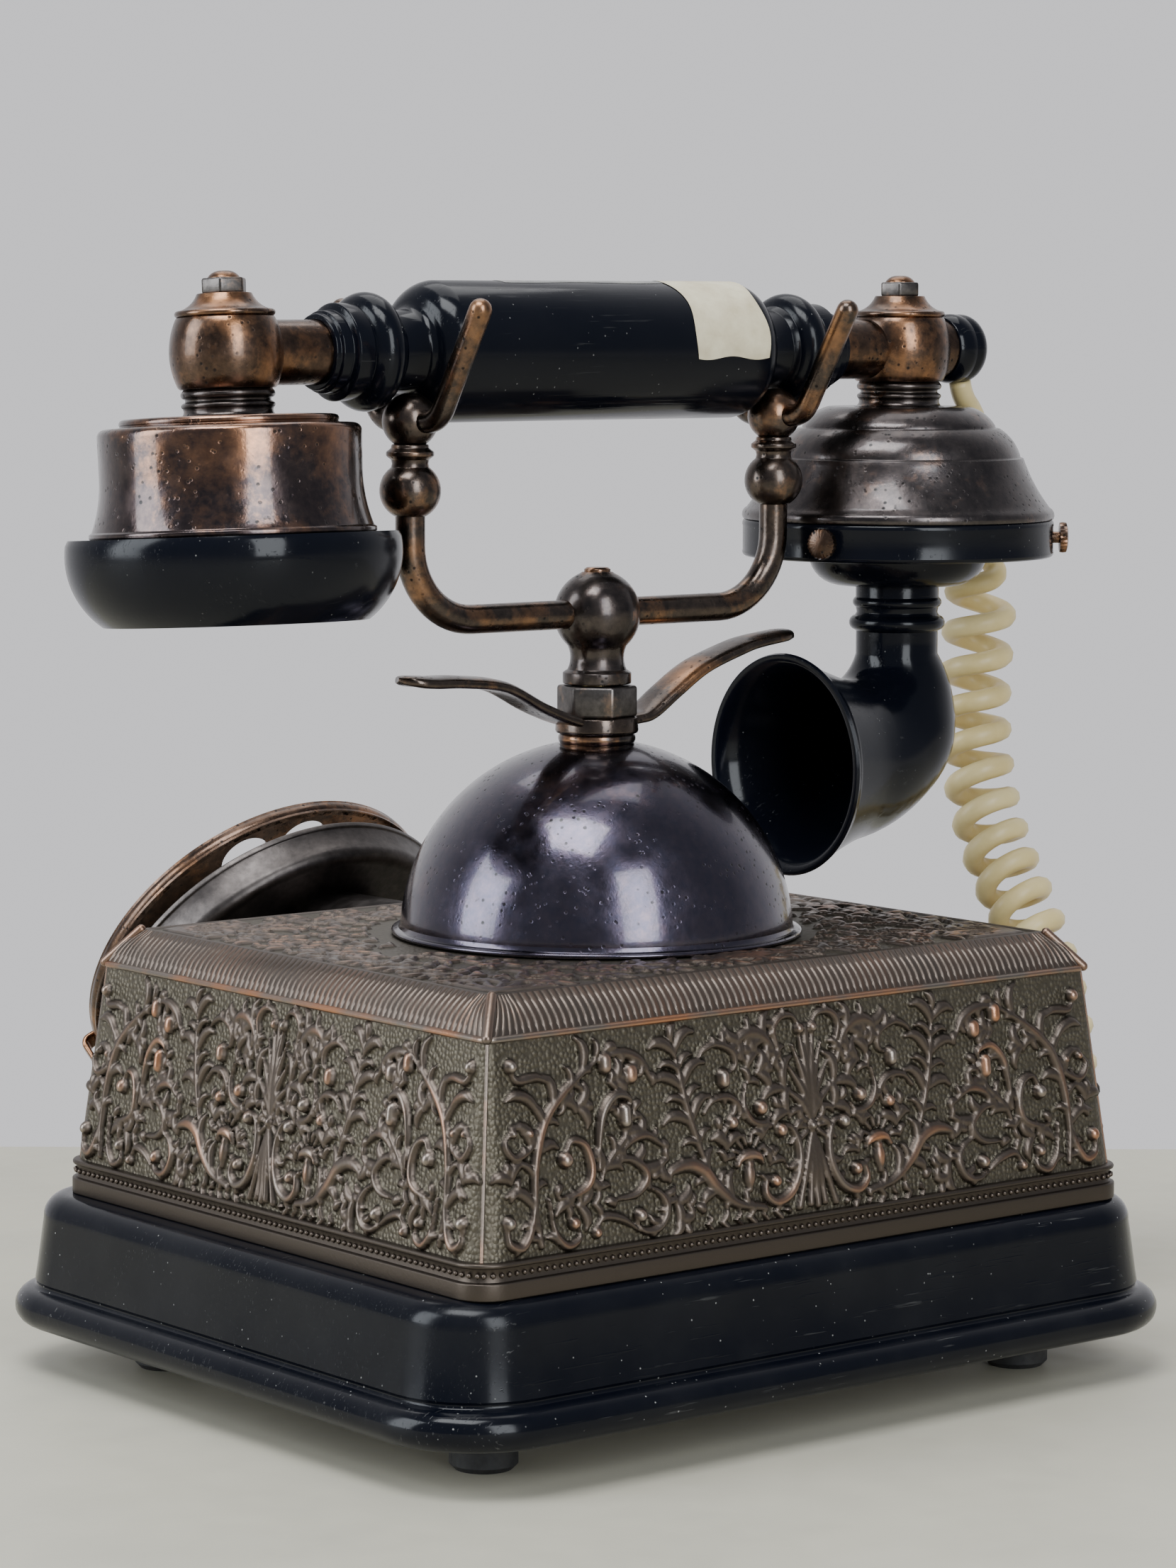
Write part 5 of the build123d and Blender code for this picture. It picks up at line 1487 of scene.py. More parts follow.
@dataclass
class CaseShell(Assembly):
    """The embossed shell: four relief panels, foot band, beads, seams, reeded shoulder and top."""

    foot: Spot = (77.6, 65.3, 6.0)
    crest: Spot = (71.4, 59.6, 1.5)
    top: Flat = (66.3, 54.4)
    foot_z: float = 33.3
    crest_z: float = 77.8
    panel: Flat = (39.4, 77.0)
    top_z: float = 84.0
    slope_z: float = 77.7
    grain: float = 0.34
    top_grain: float = 0.5
    rise: float = 1.12
    reed: float = 1.56
    bead: float = 0.56
    bead_pitch: float = 1.62
    bead_z: float = 37.65
    bead_sink: float = 0.38
    seam: float = 0.38
    # Each tone is a height on the relief colour ramp, from grime and painted shade up to a painted highlight.
    band_tone: float = 0.38
    bead_tone: float = 0.5
    seam_tone: float = 0.78
    rib_tone: float = 0.8
    lip_tone: float = 0.92

    def section(self, z: float) -> Spot:
        """Half length, half width and corner radius at a height."""
        t = (z - self.foot_z) / (self.crest_z - self.foot_z)
        return tuple(a + (b - a) * t for a, b in zip(self.foot, self.crest))

    def side_point(self, length: bool, share: float, z: float, proud: float = 0.0) -> Spot:
        """A point on one side.

        Args:
            length: whether it is a long side.
            share: -1 to 1 from one corner's middle to the other's.
            z: its height.
            proud: how far it stands out.

        Returns:
            The point as seen with the side facing +Y.
        """
        half_x, half_y, corner = self.section(z)
        wide, deep = (half_x, half_y) if length else (half_y, half_x)
        run = wide - corner
        along = abs(share) * (run + corner * math.pi / 4)
        if along <= run:
            x, y, nx, ny = along, deep, 0.0, 1.0
        else:
            a = (along - run) / corner
            nx, ny = math.sin(a), math.cos(a)
            x, y = run + corner * nx, deep - corner + corner * ny
        return (math.copysign(x + nx * proud, share), y + ny * proud, z)

    def panels(self) -> None:
        """Make the four relief panels."""
        relief = panel_ornament()
        low, high = self.panel
        for name, length, angle in SIDES:
            wide = self.section(low)[0 if length else 1]
            shrink = 1.0 if length else wide / self.section(low)[0]
            bm = bmesh.new()
            bmesh.ops.create_grid(bm, x_segments=int(2 * wide / self.grain),
                                  y_segments=int((high - low) / self.grain), size=1.0)
            flat = np.array([(v.co.x, v.co.y) for v in bm.verts])
            z = low + (high - low) * (flat[:, 1] + 1) / 2
            across = flat[:, 0] * (wide - 1.0 - 0.1 * (z - low)) / shrink
            rise = relief.heights(across, z)
            layer = bm.verts.layers.float.new("relief")
            for vert, share, level, up in zip(bm.verts, flat[:, 0], z, rise):
                vert.co = self.side_point(length, float(share), float(level), float(up) * self.rise)
                # The relief height also picks the colour: painted shade at the foot of the ornament, painted
                # highlight on its tops.
                vert[layer] = min(0.1 + float(up) * 0.6, 1.0)
            bmesh.ops.recalc_face_normals(bm, faces=bm.faces)
            self.put(bm, "panel_" + name, Body.BASE, self.looks.case, "case_copper", turned_by(angle, "Z"),
                     ["case_cover"] if name == "back" else (), 60)

    def mouldings(self) -> None:
        """Make the foot band, the groove with its beads, the ridge, the lip and the seams."""
        band = Outline(-3.0, 33.3).to((0.6, 33.3), (0.6, 36.3), (-0.2, 36.5))
        band.arc((-0.45, 37.7), (-0.15, 38.8), 6)
        band.to((0.25, 38.9)).arc((0.5, 39.35), (0.2, 39.8), 4).to((-1.2, 39.9))
        bm = hoop(band.soft(0.3), *self.foot)
        self.tone(bm, self.band_tone)
        self.put(bm, "foot_band", Body.BASE, self.looks.case, "case_copper")
        lip = Outline(-1.5, 76.6).to((0.2, 76.7)).arc((0.75, 77.2), (0.35, 77.8), 5).to((-1.0, 78.0))
        half_x, half_y, _ = self.section(77.2)
        bm = hoop(lip.soft(0.15), half_x, half_y, 1.8)
        self.tone(bm, self.lip_tone)
        self.put(bm, "shoulder_lip", Body.BASE, self.looks.case, "case_copper")
        parts = []
        half_x, half_y, corner = self.foot
        for _, length, angle in SIDES:
            wide, deep = (half_x, half_y) if length else (half_y, half_x)
            grow = deep - self.section(self.bead_z)[1 if length else 0]
            count = int(2 * (wide - corner + corner * math.pi / 4) / self.bead_pitch)
            for i in range(count):
                x, y, z = self.side_point(length, 2 * (i + 0.5) / count - 1, self.bead_z)
                spot = shift(x * (1 + grow / wide), y + grow - self.bead_sink, z)
                ball = bmesh.new()
                bmesh.ops.create_icosphere(ball, subdivisions=1, radius=self.bead)
                parts.append((ball, turned_by(angle, "Z") @ spot))
        bm = joined(*parts)
        self.tone(bm, self.bead_tone)
        self.put(bm, "foot_beads", Body.BASE, self.looks.case, "case_copper", crease=80)
        seams = []
        for _, length, angle in SIDES:
            line = [Vector(self.side_point(length, 1.0, 39.6 + i * 3.7, -0.12)) for i in range(11)]
            seams.append((rod(line, self.seam, sides=2), turned_by(angle, "Z")))
        bm = joined(*seams)
        self.tone(bm, self.seam_tone)
        self.put(bm, "corner_seams", Body.BASE, self.looks.case, "case_copper")

    def tone(self, bm: bmesh.types.BMesh, value: float) -> None:
        """Mark a whole mesh as standing at one relief height, which also sets how much painted shade or
        painted highlight its colour takes.
        """
        layer = bm.verts.layers.float.new("relief")
        for vert in bm.verts:
            vert[layer] = value

    def shoulder(self) -> None:
        """Make the reeded slope between the lip and the top."""
        parts = []
        crest_x, crest_y, _ = self.section(self.slope_z)
        for _, length, angle in SIDES:
            low, low_deep = (crest_x, crest_y) if length else (crest_y, crest_x)
            high, high_deep = self.top if length else self.top[::-1]
            plain = low - 9.0
            count = int(2 * low / self.reed)

            def reed(u: float, count: int = count) -> float:
                """How full the reed is at a share across the slope."""
                return max(1 - (2 * ((u * count) % 1.0) - 1) ** 2, 0.0) ** 0.6

            def where(u: float, v: float, low: float = low, high: float = high, plain: float = plain,
                      low_deep: float = low_deep, high_deep: float = high_deep,
                      reed: Callable[[float], float] = reed) -> Spot:
                """The place of a point on one slope, reeds included.

                Args:
                    u: the share across.
                    v: the share up.
                    low: half the length at the foot.
                    high: half the length at the top.
                    plain: where the corner fan begins.
                    low_deep: how far out the foot is.
                    high_deep: how far out the top is.
                    reed: how full a reed is at a share across.

                Returns:
                    The place in millimetres.
                """
                x = (2 * u - 1) * low
                reach = max(abs(x) - plain, 0.0) / (low - plain)
                upper = math.copysign(min(abs(x), plain) + reach * (high - plain), x)
                fade = math.sin(math.pi * held(v)) ** 0.25
                out = 0.33 * reed(u) * fade + 0.75 * math.sin(math.pi * v)
                return (x + (upper - x) * v, low_deep + (high_deep - low_deep) * v + out * 0.7,
                        self.slope_z + (self.top_z - self.slope_z) * v + out * 0.7 - 0.35 * fade)

            bm = skin(8 * count, 8, where)
            layer = bm.verts.layers.float.new("relief")
            for vert in bm.verts:
                # Grooves between the reeds take some of the grime and painted shade; the crests take more of
                # the rubbed copper.
                vert[layer] = 0.44 + 0.28 * reed((vert.co.x / low + 1) / 2)
            parts.append((bm, turned_by(angle, "Z")))
        for side_x in (-1, 1):
            for side_y in (-1, 1):
                line = [Vector((side_x * x, side_y * y, z)) for x, y, z in (
                    (crest_x, crest_y, 77.6), (self.top[0] + 0.2, self.top[1] + 0.2, self.top_z - 0.1))]
                rib = rod(line, 0.95, (True, True), 3)
                self.tone(rib, self.rib_tone)
                parts.append((rib, UPRIGHT))
        self.put(joined(*parts), "reeded_shoulder", Body.BASE, self.looks.case, "case_copper", crease=75)

    def deck(self) -> None:
        """Make the embossed top."""
        half_x, half_y = self.top
        relief = top_ornament(half_x, half_y)
        bm = bmesh.new()
        bmesh.ops.create_grid(bm, x_segments=int(2 * half_x / self.top_grain),
                              y_segments=int(2 * half_y / self.top_grain), size=1.0)
        flat = np.array([(v.co.x * half_x, v.co.y * half_y) for v in bm.verts])
        rise = relief.heights(flat[:, 0], flat[:, 1])
        layer = bm.verts.layers.float.new("relief")
        gone = []
        for vert, (x, y), up in zip(bm.verts, flat, rise):
            edge = min(half_x - abs(x), half_y - abs(y))
            rim = 0.45 * math.exp(-((edge - 0.5) / 0.6) ** 2)
            vert.co = (x, y, self.top_z - 0.25 + float(up) * 0.75 + rim)
            # The relief height also picks the colour: the low ground takes some grime and painted shade,
            # while the raised edge and the foliage tops go lighter towards the painted highlight.
            vert[layer] = min(0.17 + float(up) * 0.75 + rim * 0.8, 0.86)
            if math.hypot(x, y - 1.0) < 35.0:
                gone.append(vert)
        bmesh.ops.delete(bm, geom=gone, context="VERTS")
        self.put(bm, "embossed_top", Body.BASE, self.looks.case, "case_copper", crease=60)

    def build(self) -> None:
        """Make the whole shell."""
        self.panels()
        self.mouldings()
        self.shoulder()
        self.deck()


@dataclass
class Plinth(Assembly):
    """The black moulded plinth with its round bead and leaning wall."""

    half: Flat = (90.0, 76.4)
    corner: float = 21.0
    back_shift: float = -1.9

    def build(self) -> None:
        """Make the plinth and dress what is fixed under it."""
        line = Outline(-9.0, 9.6).to((-8.8, 8.5), (-3.4, 8.4)).arc((0, 11.9), (-3.4, 15.5), 12)
        line.arc((-4.1, 15.9), (-3.9, 16.9), 4).to((-4.4, 20.0), (-5.6, 28.6))
        line.arc((-6.9, 32.0), (-10.2, 33.3), 8).to((-16.5, 33.3), (-16.5, 31.6))
        bm = hoop(line.soft(0.4), *self.half, self.corner)
        self.put(bm, "plinth_moulding", Body.BASE, self.looks.plinth, "plinth_black",
                 shift(0, self.back_shift, 0), ["plinth"])
        self.finish(self.looks.rubber, "rubber_feet", "handset_cord_grommet", "line_cord_inlet")
        self.finish(self.looks.steel, "base_plate", "case_pillars", "case_screws")


@dataclass
class CradlePost(Assembly):
    """Dome, wings, nut, hub, yoke and forks."""

    dome: float = 37.35
    dome_z: float = 83.3
    hub_z: float = 144.5
    arm_x: float = 43.9
    bar: float = 2.74
    prong: float = 2.12
    prong_tip: Flat = (21.0, 201.3)
    prong_foot: Flat = (8.6, 181.2)
    wing_half: float = 4.5
    wing_thick: float = 1.05
    wing_crown: float = 0.5
    ear_wing: Sequence[Flat] = ((0, 123.4), (7.1, 124.2), (14.9, 127.1), (24.1, 131.5), (34.0, 132.8),
                                (40.5, 133.0), (46.6, 133.6))
    mouth_wing: Sequence[Flat] = ((0, 123.4), (-7.5, 124.0), (-11.3, 124.9), (-16.9, 128.6), (-24.1, 132.9),
                                  (-33.2, 136.0), (-38.5, 137.2), (-48.6, 138.4))

    def fixed(self) -> None:
        """Make the dome, its collar, the wing plate and the lock nut."""
        line = Outline(36.0, 84.05).to((38.7, 84.05)).arc((39.0, 84.5), (38.6, 84.95), 4)
        line.to((37.6, 85.1), (37.25, 85.8))
        angles = [math.radians(4 + 86 * i / 44) for i in range(45)]
        line.to(*[(self.dome * math.cos(a), self.dome_z + self.dome * math.sin(a)) for a in angles])
        self.put(lathe(line.points, 160), "polished_dome", Body.BASE, self.looks.dome, "dome_copper", CRADLE,
                 ["dome"])
        collar = Outline(0, 120.0).to((7.0, 120.0)).arc((7.35, 120.9), (7.0, 121.8), 5).to((0, 121.9))
        self.put(lathe(collar.points, 64), "collar_ring", Body.BASE, self.looks.bronze, "copper_brown",
                 CRADLE, ["dome_collar"])
        boss = Outline(0, 121.9).to((7.7, 121.9)).to((7.9, 122.4), (7.7, 124.8), (7.2, 125.0), (0, 125.0))
        parts = [(lathe(boss.soft(0.3), 64), UPRIGHT)]
        for points in (self.ear_wing, self.mouth_wing):
            line = smooth_line([(x, 0, z) for x, z in points], 6)
            parts.append((strip(line, self.wing_half, self.wing_thick, self.wing_crown), UPRIGHT))
        self.put(joined(*parts), "wing_strip", Body.BASE, self.looks.rubbed, "copper_brown", CRADLE,
                 ["wing_plate"])
        self.put(nut(13.4, 5.9, 0.6), "post_nut", Body.BASE, self.looks.nuts, "copper_brown",
                 CRADLE @ shift(0, 0, 125.0) @ turned_by(45, "Z"), ["lock_nut"])

    def moving(self) -> None:
        """Make the hub, the yoke bar, the finials and the forks."""
        hub = Outline(0, 131.2).to((6.5, 131.2), (6.5, 133.3), (5.6, 133.9))
        hub.arc((5.1, 135.6), (5.6, 138.4), 6).arc((8.2, 144.5), (3.2, 152.05), 18)
        hub.to((2.9, 152.3), (0, 152.35))
        screw = Outline(0, 151.9).to((2.5, 151.9), (2.5, 152.8), (2.0, 153.15), (0, 153.25))
        for bm, name, node in ((lathe(hub.soft(0.3), 72), "hub_knob", "hub_ball"),
                               (lathe(screw.soft(0.2), 36), "hub_cap_screw", "hub_screw")):
            self.put(bm, name, Body.CRADLE, self.looks.bronze, "copper_brown", CRADLE, [node])
        x = self.arm_x
        line = bent([(-x, 0, 176), (-x, 0, self.hub_z), (x, 0, self.hub_z), (x, 0, 176)], 14.0, 14)
        self.put(rod(line, self.bar, sides=8), "yoke_rod", Body.CRADLE, self.looks.rubbed, "copper_brown",
                 CRADLE, ["yoke_bar"])
        finial = Outline(0, 163.3).to((2.9, 163.9)).arc((5.65, 168.6), (3.5, 172.8), 14)
        finial.to((3.35, 173.5), (3.5, 174.2), (4.4, 174.9), (4.4, 175.6), (3.5, 176.3), (3.4, 177.0))
        finial.to((0, 177.0))
        knobs = [(lathe(finial.soft(0.3), 56), shift(side * x)) for side in (-1, 1)]
        self.put(joined(*knobs), "arm_knobs", Body.CRADLE, self.looks.rubbed, "copper_brown", CRADLE,
                 ["arm_finials"])
        for side, name, node in ((1, "ear_fork", "ear_side_fork"), (-1, "mouth_fork", "mouth_side_fork")):
            ball = Outline(0, 177.0).to((2.9, 177.0)).arc((5.15, 181.2), (1.2, 186.2), 18).to((0, 186.35))
            tip, foot = self.prong_tip, self.prong_foot
            prongs = bent([(0, -tip[0], tip[1]), (0, -foot[0], foot[1]), (0, *foot), (0, *tip)], 5.5)
            parts = [(lathe(ball.soft(0.25), 56), UPRIGHT),
                     (rod(prongs, self.prong, (True, True), 7), UPRIGHT)]
            self.put(joined(*parts), name, Body.CRADLE, self.looks.rubbed, "copper_brown",
                     CRADLE @ shift(side * x), [node])
        self.finish(self.looks.brass, "plunger_post")

    def build(self) -> None:
        """Make the whole post and cradle."""
        self.fixed()
        self.moving()


@dataclass
class Handset(Assembly):
    """Grip, tube, joints, earpiece, mouthpiece and horn."""

    horn_top: float = -55.0
    horn_pivot: float = 13.0
    horn_inner: float = 4.8
    horn_reach: Sequence[Flat] = ((0, 21.2), (22.5, 26.4), (45, 31.5), (67.5, 34.0), (90, 36.6))

    def grip(self) -> None:
        """Make the turned grip, the tube, its end button and the tape remnant."""
        half = Outline(13.05, 0.0).to((13.05, 35.6)).arc((11.7, 38.5), (9.4, 40.1), 8)
        half.arc((8.3, 40.6), (7.6, 41.8), 4).to((7.6, 46.3), (8.2, 47.0), (8.4, 47.5))
        half.arc((10.85, 50.5), (9.2, 53.7), 9)
        half.to((8.3, 54.1), (8.8, 54.6), (8.9, 57.8), (8.5, 58.1), (7.5, 58.3), (7.5, 60.5), (6.9, 60.7),
                (6.9, 61.8), (5.95, 61.8))
        right = half.soft(0.3)
        left = [(r, -z) for r, z in reversed(right)]
        self.put(lathe([*left, *right[1:]], 96, ring=True), "turned_grip", Body.HANDSET, self.looks.black,
                 "gloss_black", HANDSET @ LYING, ["grip_upper_half", "grip_lower_half"])
        tube = Outline(4.7, -94.0).to((5.86, -94.0), (5.86, 76.0), (4.7, 76.0))
        self.put(lathe(tube.points, 64, ring=True), "grip_tube", Body.HANDSET, self.looks.copper,
                 "copper_brown", HANDSET @ LYING, ["handset_tube"])
        cap = Outline(0, 0).to((6.2, 0)).arc((6.75, 1.2), (6.7, 4.2), 6).arc((6.2, 7.2), (4.4, 8.3), 6)
        cap.arc((2.4, 8.5), (0, 8.5), 4)
        self.put(lathe(cap.soft(0.3), 64), "end_button", Body.HANDSET, self.looks.black, "gloss_black",
                 HANDSET @ shift(-92.0) @ turned_by(-90, "Y"), ["tube_end_cap"])

        def patch(low: float, high: float, start: float, end: float, radius: float,
                  fray: float) -> bmesh.types.BMesh:
            """A thin patch on the grip, from x low to high and between two angles from the top.

            Args:
                low: where it starts along the grip.
                high: where it ends.
                start: the first angle.
                end: the last angle.
                radius: how far it lies from the middle.
                fray: how uneven its edges are.

            Returns:
                The patch as a mesh.
            """
            def where(u: float, v: float) -> Spot:
                """The place of a point of the patch.

                Args:
                    u: the share round or across.
                    v: the share along or up.

                Returns:
                    The place in millimetres.
                """
                a = math.radians(start + (end - start) * v + fray * math.sin(9 * u) * (v - 0.5))
                x = low + (high - low) * u + fray * 0.12 * math.sin(14 * v + 2) * (2 * u - 1)
                return (x, radius * math.sin(a), radius * math.cos(a))
            return skin(24, 40, where, 0)

        for name, finish, size in (("paper_tape", self.looks.paper, (-35.4, -17.6, -48, 96, 13.16, 3.0)),
                                   ("film_tape", self.looks.film, (-17.0, 21.0, -38, 14, 13.1, 2.2))):
            self.put(patch(*size), name, Body.HANDSET, finish, "gloss_black", HANDSET)

    def joint(self) -> None:
        """Make the barrel joints with their washers, nuts, bolts and necks."""
        barrel = Outline(0, -6.4).to((8.5, -6.4), (8.9, -6.0)).arc((10.2, 0.1), (8.9, 6.0), 14)
        barrel.to((8.6, 6.4), (0, 6.4))
        washer = Outline(0, 6.4).to((8.7, 6.4)).arc((9.0, 6.95), (8.6, 7.5), 5).to((7.9, 7.6))
        washer.arc((6.2, 8.6), (4.9, 10.5), 6).to((0, 10.5))
        bolt = Outline(0, 12.6).to((2.9, 12.6), (2.9, 13.3)).arc((2.1, 14.1), (0, 14.4), 6)
        neck = Outline(0, -6.3).to((7.9, -6.4), (8.2, -6.8)).arc((8.45, -7.4), (8.1, -8.0), 4)
        neck.arc((7.6, -8.4), (8.0, -8.8), 3).arc((8.4, -9.3), (8.1, -9.8), 4)
        neck.arc((8.0, -10.6), (9.1, -11.35), 5).to((0, -11.4))
        for place, end, first in ((EAR, "ear", True), (MOUTH, "mouth", False)):
            self.put(lathe(barrel.soft(0.3), 72), end + "_barrel", Body.HANDSET, self.looks.copper,
                     "copper_brown", place, [end + "_fitting"])
            for name, outline, finish, node in (("_washer", washer, self.looks.copper, "fitting_washers"),
                                                ("_bolt_end", bolt, self.looks.copper, "fitting_bolts"),
                                                ("_neck", neck, self.looks.bronze, "fitting_necks")):
                self.put(lathe(outline.soft(0.2), 64), end + name, Body.HANDSET, finish, "copper_brown",
                         place, [node] if first else ())
            self.put(nut(7.4, 2.8, 0.4), end + "_nut", Body.HANDSET, self.looks.nuts, "copper_brown",
                     place @ shift(0, 0, 10.4) @ turned_by(17, "Z"), ["fitting_nuts"] if first else ())

    def earpiece(self) -> None:
        """Make the receiver cup and its black cap."""
        cup = Outline(0, -11.4).to((19.0, -11.4)).arc((19.5, -11.8), (19.4, -12.7), 4)
        cup.to((20.2, -13.0), (22.2, -13.0)).arc((23.2, -13.5), (23.5, -14.6), 5)
        cup.to((23.4, -21.5)).arc((23.9, -27.0), (25.1, -31.2), 8)
        cup.to((25.6, -31.5), (25.6, -32.4), (23.5, -32.4), (23.0, -28.0), (21.8, -14.6), (0, -14.6))
        self.put(lathe(cup.soft(0.3), 112), "receiver_cup", Body.HANDSET, self.looks.cups, "cup_copper", EAR,
                 ["ear_cup"])
        self.finer("ear_cap", Body.HANDSET, self.looks.black, "gloss_black")
        self.finish(self.looks.steel, "receiver_capsule", "transmitter_capsule")

    def mouthpiece(self) -> None:
        """Make the stepped bell, the black ring, the thumb screws and the dish."""
        bell = Outline(0, -11.4).to((14.2, -11.4)).arc((16.9, -12.7), (19.2, -15.1), 7)
        bell.to((19.3, -15.6), (20.1, -15.7)).arc((22.6, -17.9), (24.2, -20.9), 7)
        bell.to((24.3, -21.4), (24.9, -21.6)).arc((26.8, -26.0), (30.2, -31.4), 10)
        bell.arc((30.9, -32.0), (31.0, -33.7), 4)
        bell.to((29.6, -33.7), (28.6, -31.6), (24.8, -26.0), (0, -14.0))
        self.put(lathe(bell.soft(0.25), 120), "stepped_bell", Body.HANDSET, self.looks.bell, "cup_copper",
                 MOUTH, ["mouth_bell"])
        band = Outline(6.0, -40.0).to((26.0, -40.0), (26.0, -33.7), (30.6, -33.7))
        band.arc((31.0, -34.2), (31.0, -35.2), 4).to((31.0, -39.9)).arc((30.9, -40.9), (30.0, -41.2), 4)
        band.to((6.0, -41.2))
        self.put(lathe(band.soft(0.3), 120, ring=True), "black_hoop", Body.HANDSET, self.looks.black,
                 "gloss_black", MOUTH, ["mouth_ring"])

        def where(u: float, v: float) -> Spot:
            """The place of a point of a thumb screw by turn and share along.

            Args:
                u: the share round or across.
                v: the share along or up.

            Returns:
                The place in millimetres.
            """
            row = round(v * 8)
            out, radius = ((30.6, 0.01), (30.6, 1.15), (32.2, 1.15), (32.25, 2.0), (32.35, 2.85),
                           (33.0, 2.95), (33.7, 2.85), (33.95, 2.2), (34.0, 0.01))[row]
            knurl = 1 + (0.035 * math.cos(22 * math.tau * u) if 3 < row < 7 else 0)
            return (out, radius * knurl * math.cos(math.tau * u), radius * knurl * math.sin(math.tau * u))

        parts = [(skin(88, 8, where), shift(0, 0, -37.45) @ turned_by(141 + 120 * index, "Z"))
                 for index in range(3)]
        self.put(joined(*parts), "knurled_screws", Body.HANDSET, self.looks.copper, "copper_brown", MOUTH,
                 ["thumb_screws"])
        dish = Outline(6.0, -41.2).to((17.8, -41.2)).arc((16.4, -44.6), (8.9, -46.5), 10).to((6.0, -46.6))
        self.put(lathe(dish.soft(0.3), 96, ring=True), "horn_dish", Body.HANDSET, self.looks.black,
                 "gloss_black", MOUTH, ["mouth_dish"])

    def horn(self) -> None:
        """Make the bent horn with its neck beads and rolled rim."""
        neck = Outline(6.5, -46.6).to((8.3, -46.6), (8.3, -49.4)).arc((8.9, -50.4), (8.3, -51.4), 5)
        neck.to((8.1, -52.4), (8.4, -53.0)).arc((9.6, -54.6), (8.4, -56.0), 7).to((8.0, -56.4), (6.5, -56.4))
        pivot_z = self.horn_top - 5.7
        sections = [(Vector((0, 0, self.horn_top + rise)), Vector((0, 0, -1)), 8.2) for rise in (0.2, -3)]
        for angle, reach in smooth_line(self.horn_reach, 6):
            a = math.radians(angle)
            way = Vector((-math.cos(a), 0, -math.sin(a)))
            middle = Vector((self.horn_pivot, 0, pivot_z)) + way * (reach + self.horn_inner) / 2
            sections.append((middle, Vector((math.sin(a), 0, -math.cos(a))), (reach - self.horn_inner) / 2))
        drop = (self.horn_reach[-1][1] + self.horn_inner) / 2
        for run, radius in ((2.5, 16.35), (5, 17.05), (7.5, 17.9), (10, 18.8), (12.5, 19.75), (14.2, 20.4),
                            (15.2, 20.8), (15.7, 21.5), (16.6, 21.95), (17.2, 21.7), (17.3, 21.0),
                            (16.9, 20.2)):
            sections.append((Vector((self.horn_pivot + run, 0, pivot_z - drop)), Vector((1, 0, 0)), radius))
        inner = [(spot, way, radius - 1.9) for spot, way, radius in sections[:-6]]
        rows = sections + inner[::-1]
        count = len(rows) - 1

        def where(u: float, v: float) -> Spot:
            """The place of a point by turn round the horn and share along it.

            Args:
                u: the share round or across.
                v: the share along or up.

            Returns:
                The place in millimetres.
            """
            spot, way, radius = rows[round(v * count)]
            across = Vector((-way.z, 0, way.x))
            a = math.tau * u
            return tuple(spot + (across * math.cos(a) + Vector((0, 1, 0)) * math.sin(a)) * radius)

        parts = [(skin(88, count, where), UPRIGHT), (lathe(neck.soft(0.25), 72, ring=True), UPRIGHT)]
        self.put(joined(*parts), "speaking_horn", Body.HANDSET, self.looks.black, "gloss_black", MOUTH,
                 ["horn"])

    def build(self) -> None:
        """Make the whole handset."""
        self.grip()
        self.joint()
        self.earpiece()
        self.mouthpiece()
        self.horn()


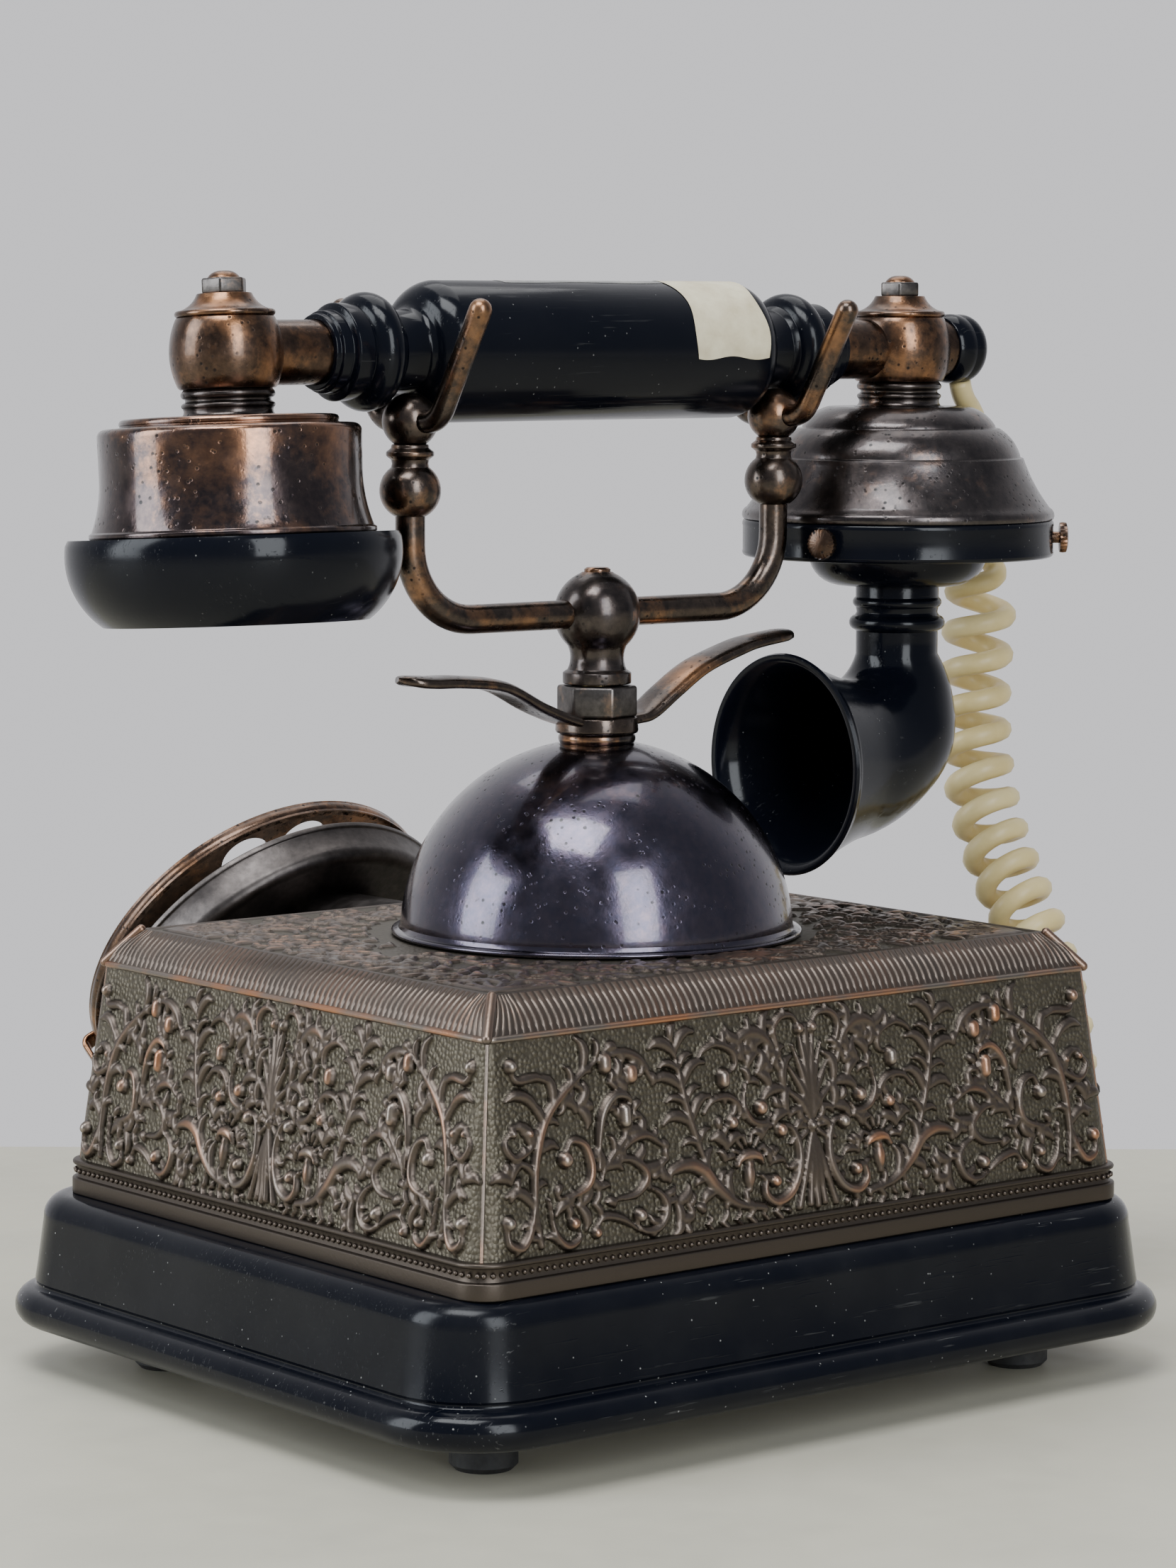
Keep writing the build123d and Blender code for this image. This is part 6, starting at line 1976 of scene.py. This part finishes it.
@dataclass
class Dial(Assembly):
    """Cup, number plate with its figures, finger wheel with a rolled rim, and centre cap."""

    circle: float = 29.6
    first: float = 62.0
    pitch: float = 26.0
    stop: float = -38.0
    figure_size: float = 9.0
    figure_depth: float = 0.12
    figure_z: float = -8.32

    def figures(self) -> None:
        """Set the plain figures under the finger holes."""
        parts = []
        for index in range(10):
            figure = bpy.data.curves.new("figure", "FONT")
            figure.body = str((index + 1) % 10)
            figure.size = self.figure_size
            figure.align_x = "CENTER"
            figure.align_y = "CENTER"
            figure.extrude = self.figure_depth
            a = math.radians(self.first + self.pitch * index)
            spot = shift(self.circle * math.cos(a), self.circle * math.sin(a), self.figure_z)
            parts.append((mesh_of(figure), spot))
        self.put(joined(*parts), "dial_figures", Body.BASE, self.looks.ink, "enamel_white", DIAL)

    def build(self) -> None:
        """Make the whole dial."""
        cup = Outline(15.0, -17.0).to((36.0, -17.0)).arc((38.6, -16.2), (39.1, -13.8), 6)
        cup.to((39.9, -9.8), (40.3, -9.6), (40.4, -8.6), (40.1, -8.4), (38.6, -8.4), (38.2, -10.4))
        cup.to((37.4, -15.2), (15.0, -15.4))
        self.put(lathe(cup.soft(0.3), 128, ring=True), "dial_housing", Body.BASE, self.looks.gunmetal,
                 "copper_brown", DIAL, ["dial_cup"])
        rim = Outline(37.4, -0.9).arc((37.9, 0.35), (38.5, 0.1), 5).arc((39.1, -1.4), (38.6, -3.0), 8)
        rim.to((37.7, -3.0))
        self.put(lathe(rim.points, 128, ring=True), "wheel_rim", Body.WHEEL, self.looks.copper,
                 "copper_brown", DIAL)
        self.finer("finger_wheel", Body.WHEEL, self.looks.copper, "copper_brown")
        cap = Outline(0, 0.0).to((12.5, 0.0), (12.6, 0.9)).arc((12.2, 1.9), (11.2, 2.1), 5)
        cap.to((10.2, 1.5), (10.0, 1.35), (0, 1.35))
        self.put(lathe(cap.soft(0.2), 96), "cap_ring", Body.WHEEL, self.looks.copper, "copper_brown",
                 DIAL, ["centre_cap"])
        card = Outline(0, 1.36).to((9.9, 1.36), (9.9, 1.5), (0, 1.55))
        self.put(lathe(card.points, 72), "blank_card", Body.WHEEL, self.looks.paper, "enamel_white", DIAL)
        self.figures()
        self.finish(self.looks.enamel, "number_plate")
        self.finer("dial_neck", Body.BASE, self.looks.gunmetal, "copper_brown")
        line = bent([(41.4, 0, -13.5), (41.4, 0, 1.4), (21.6, 0, 1.4)], 1.6, 6)
        run = [line[1].lerp(line[0], 1 - i / 6) for i in range(6)] + line[1:-1]
        run += [line[-2].lerp(line[-1], i / 12) for i in range(1, 13)]
        self.put(strip(run, 2.2, 0.6), "stop_hook", Body.BASE, self.looks.copper, "copper_brown",
                 DIAL @ turned_by(self.stop, "Z"), ["finger_stop"])
        self.finish(self.looks.steel, "dial_frame")
        self.finish(self.looks.brass, "dial_gear", "governor")


@dataclass
class Works(Assembly):
    """What sits inside the base: hook switch, ringer and circuit."""

    def build(self) -> None:
        """Dress the inner nodes."""
        self.finish(self.looks.steel, "hook_bracket", "ringer_frame")
        self.finish(self.looks.brass, "post_bushing", "hook_lever", "gongs")
        self.finish(self.looks.spring, "hook_spring", "clapper")
        self.finish(self.looks.board, "contact_stack", "network_board")
        self.finish(self.looks.winding, "ringer_coils")


def main() -> None:
    """Build the telephone in order and note the sizes."""
    logging.basicConfig(level=logging.INFO, format="%(message)s")
    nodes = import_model()["nodes"]
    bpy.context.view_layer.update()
    low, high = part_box("case_cover")
    base = shift((low.x + high.x) / 2, (low.y + high.y) / 2) @ Matrix.Scale(MM, 4)
    looks = Finishes()
    studio = Studio(nodes, base, looks)
    studio.camera()
    for kind in (HandsetCord, Plinth, CaseShell, CradlePost, Handset, Dial, Works):
        kind(nodes, base, looks).build()
    studio.floor()
    studio.light()


if __name__ == "__main__":
    main()
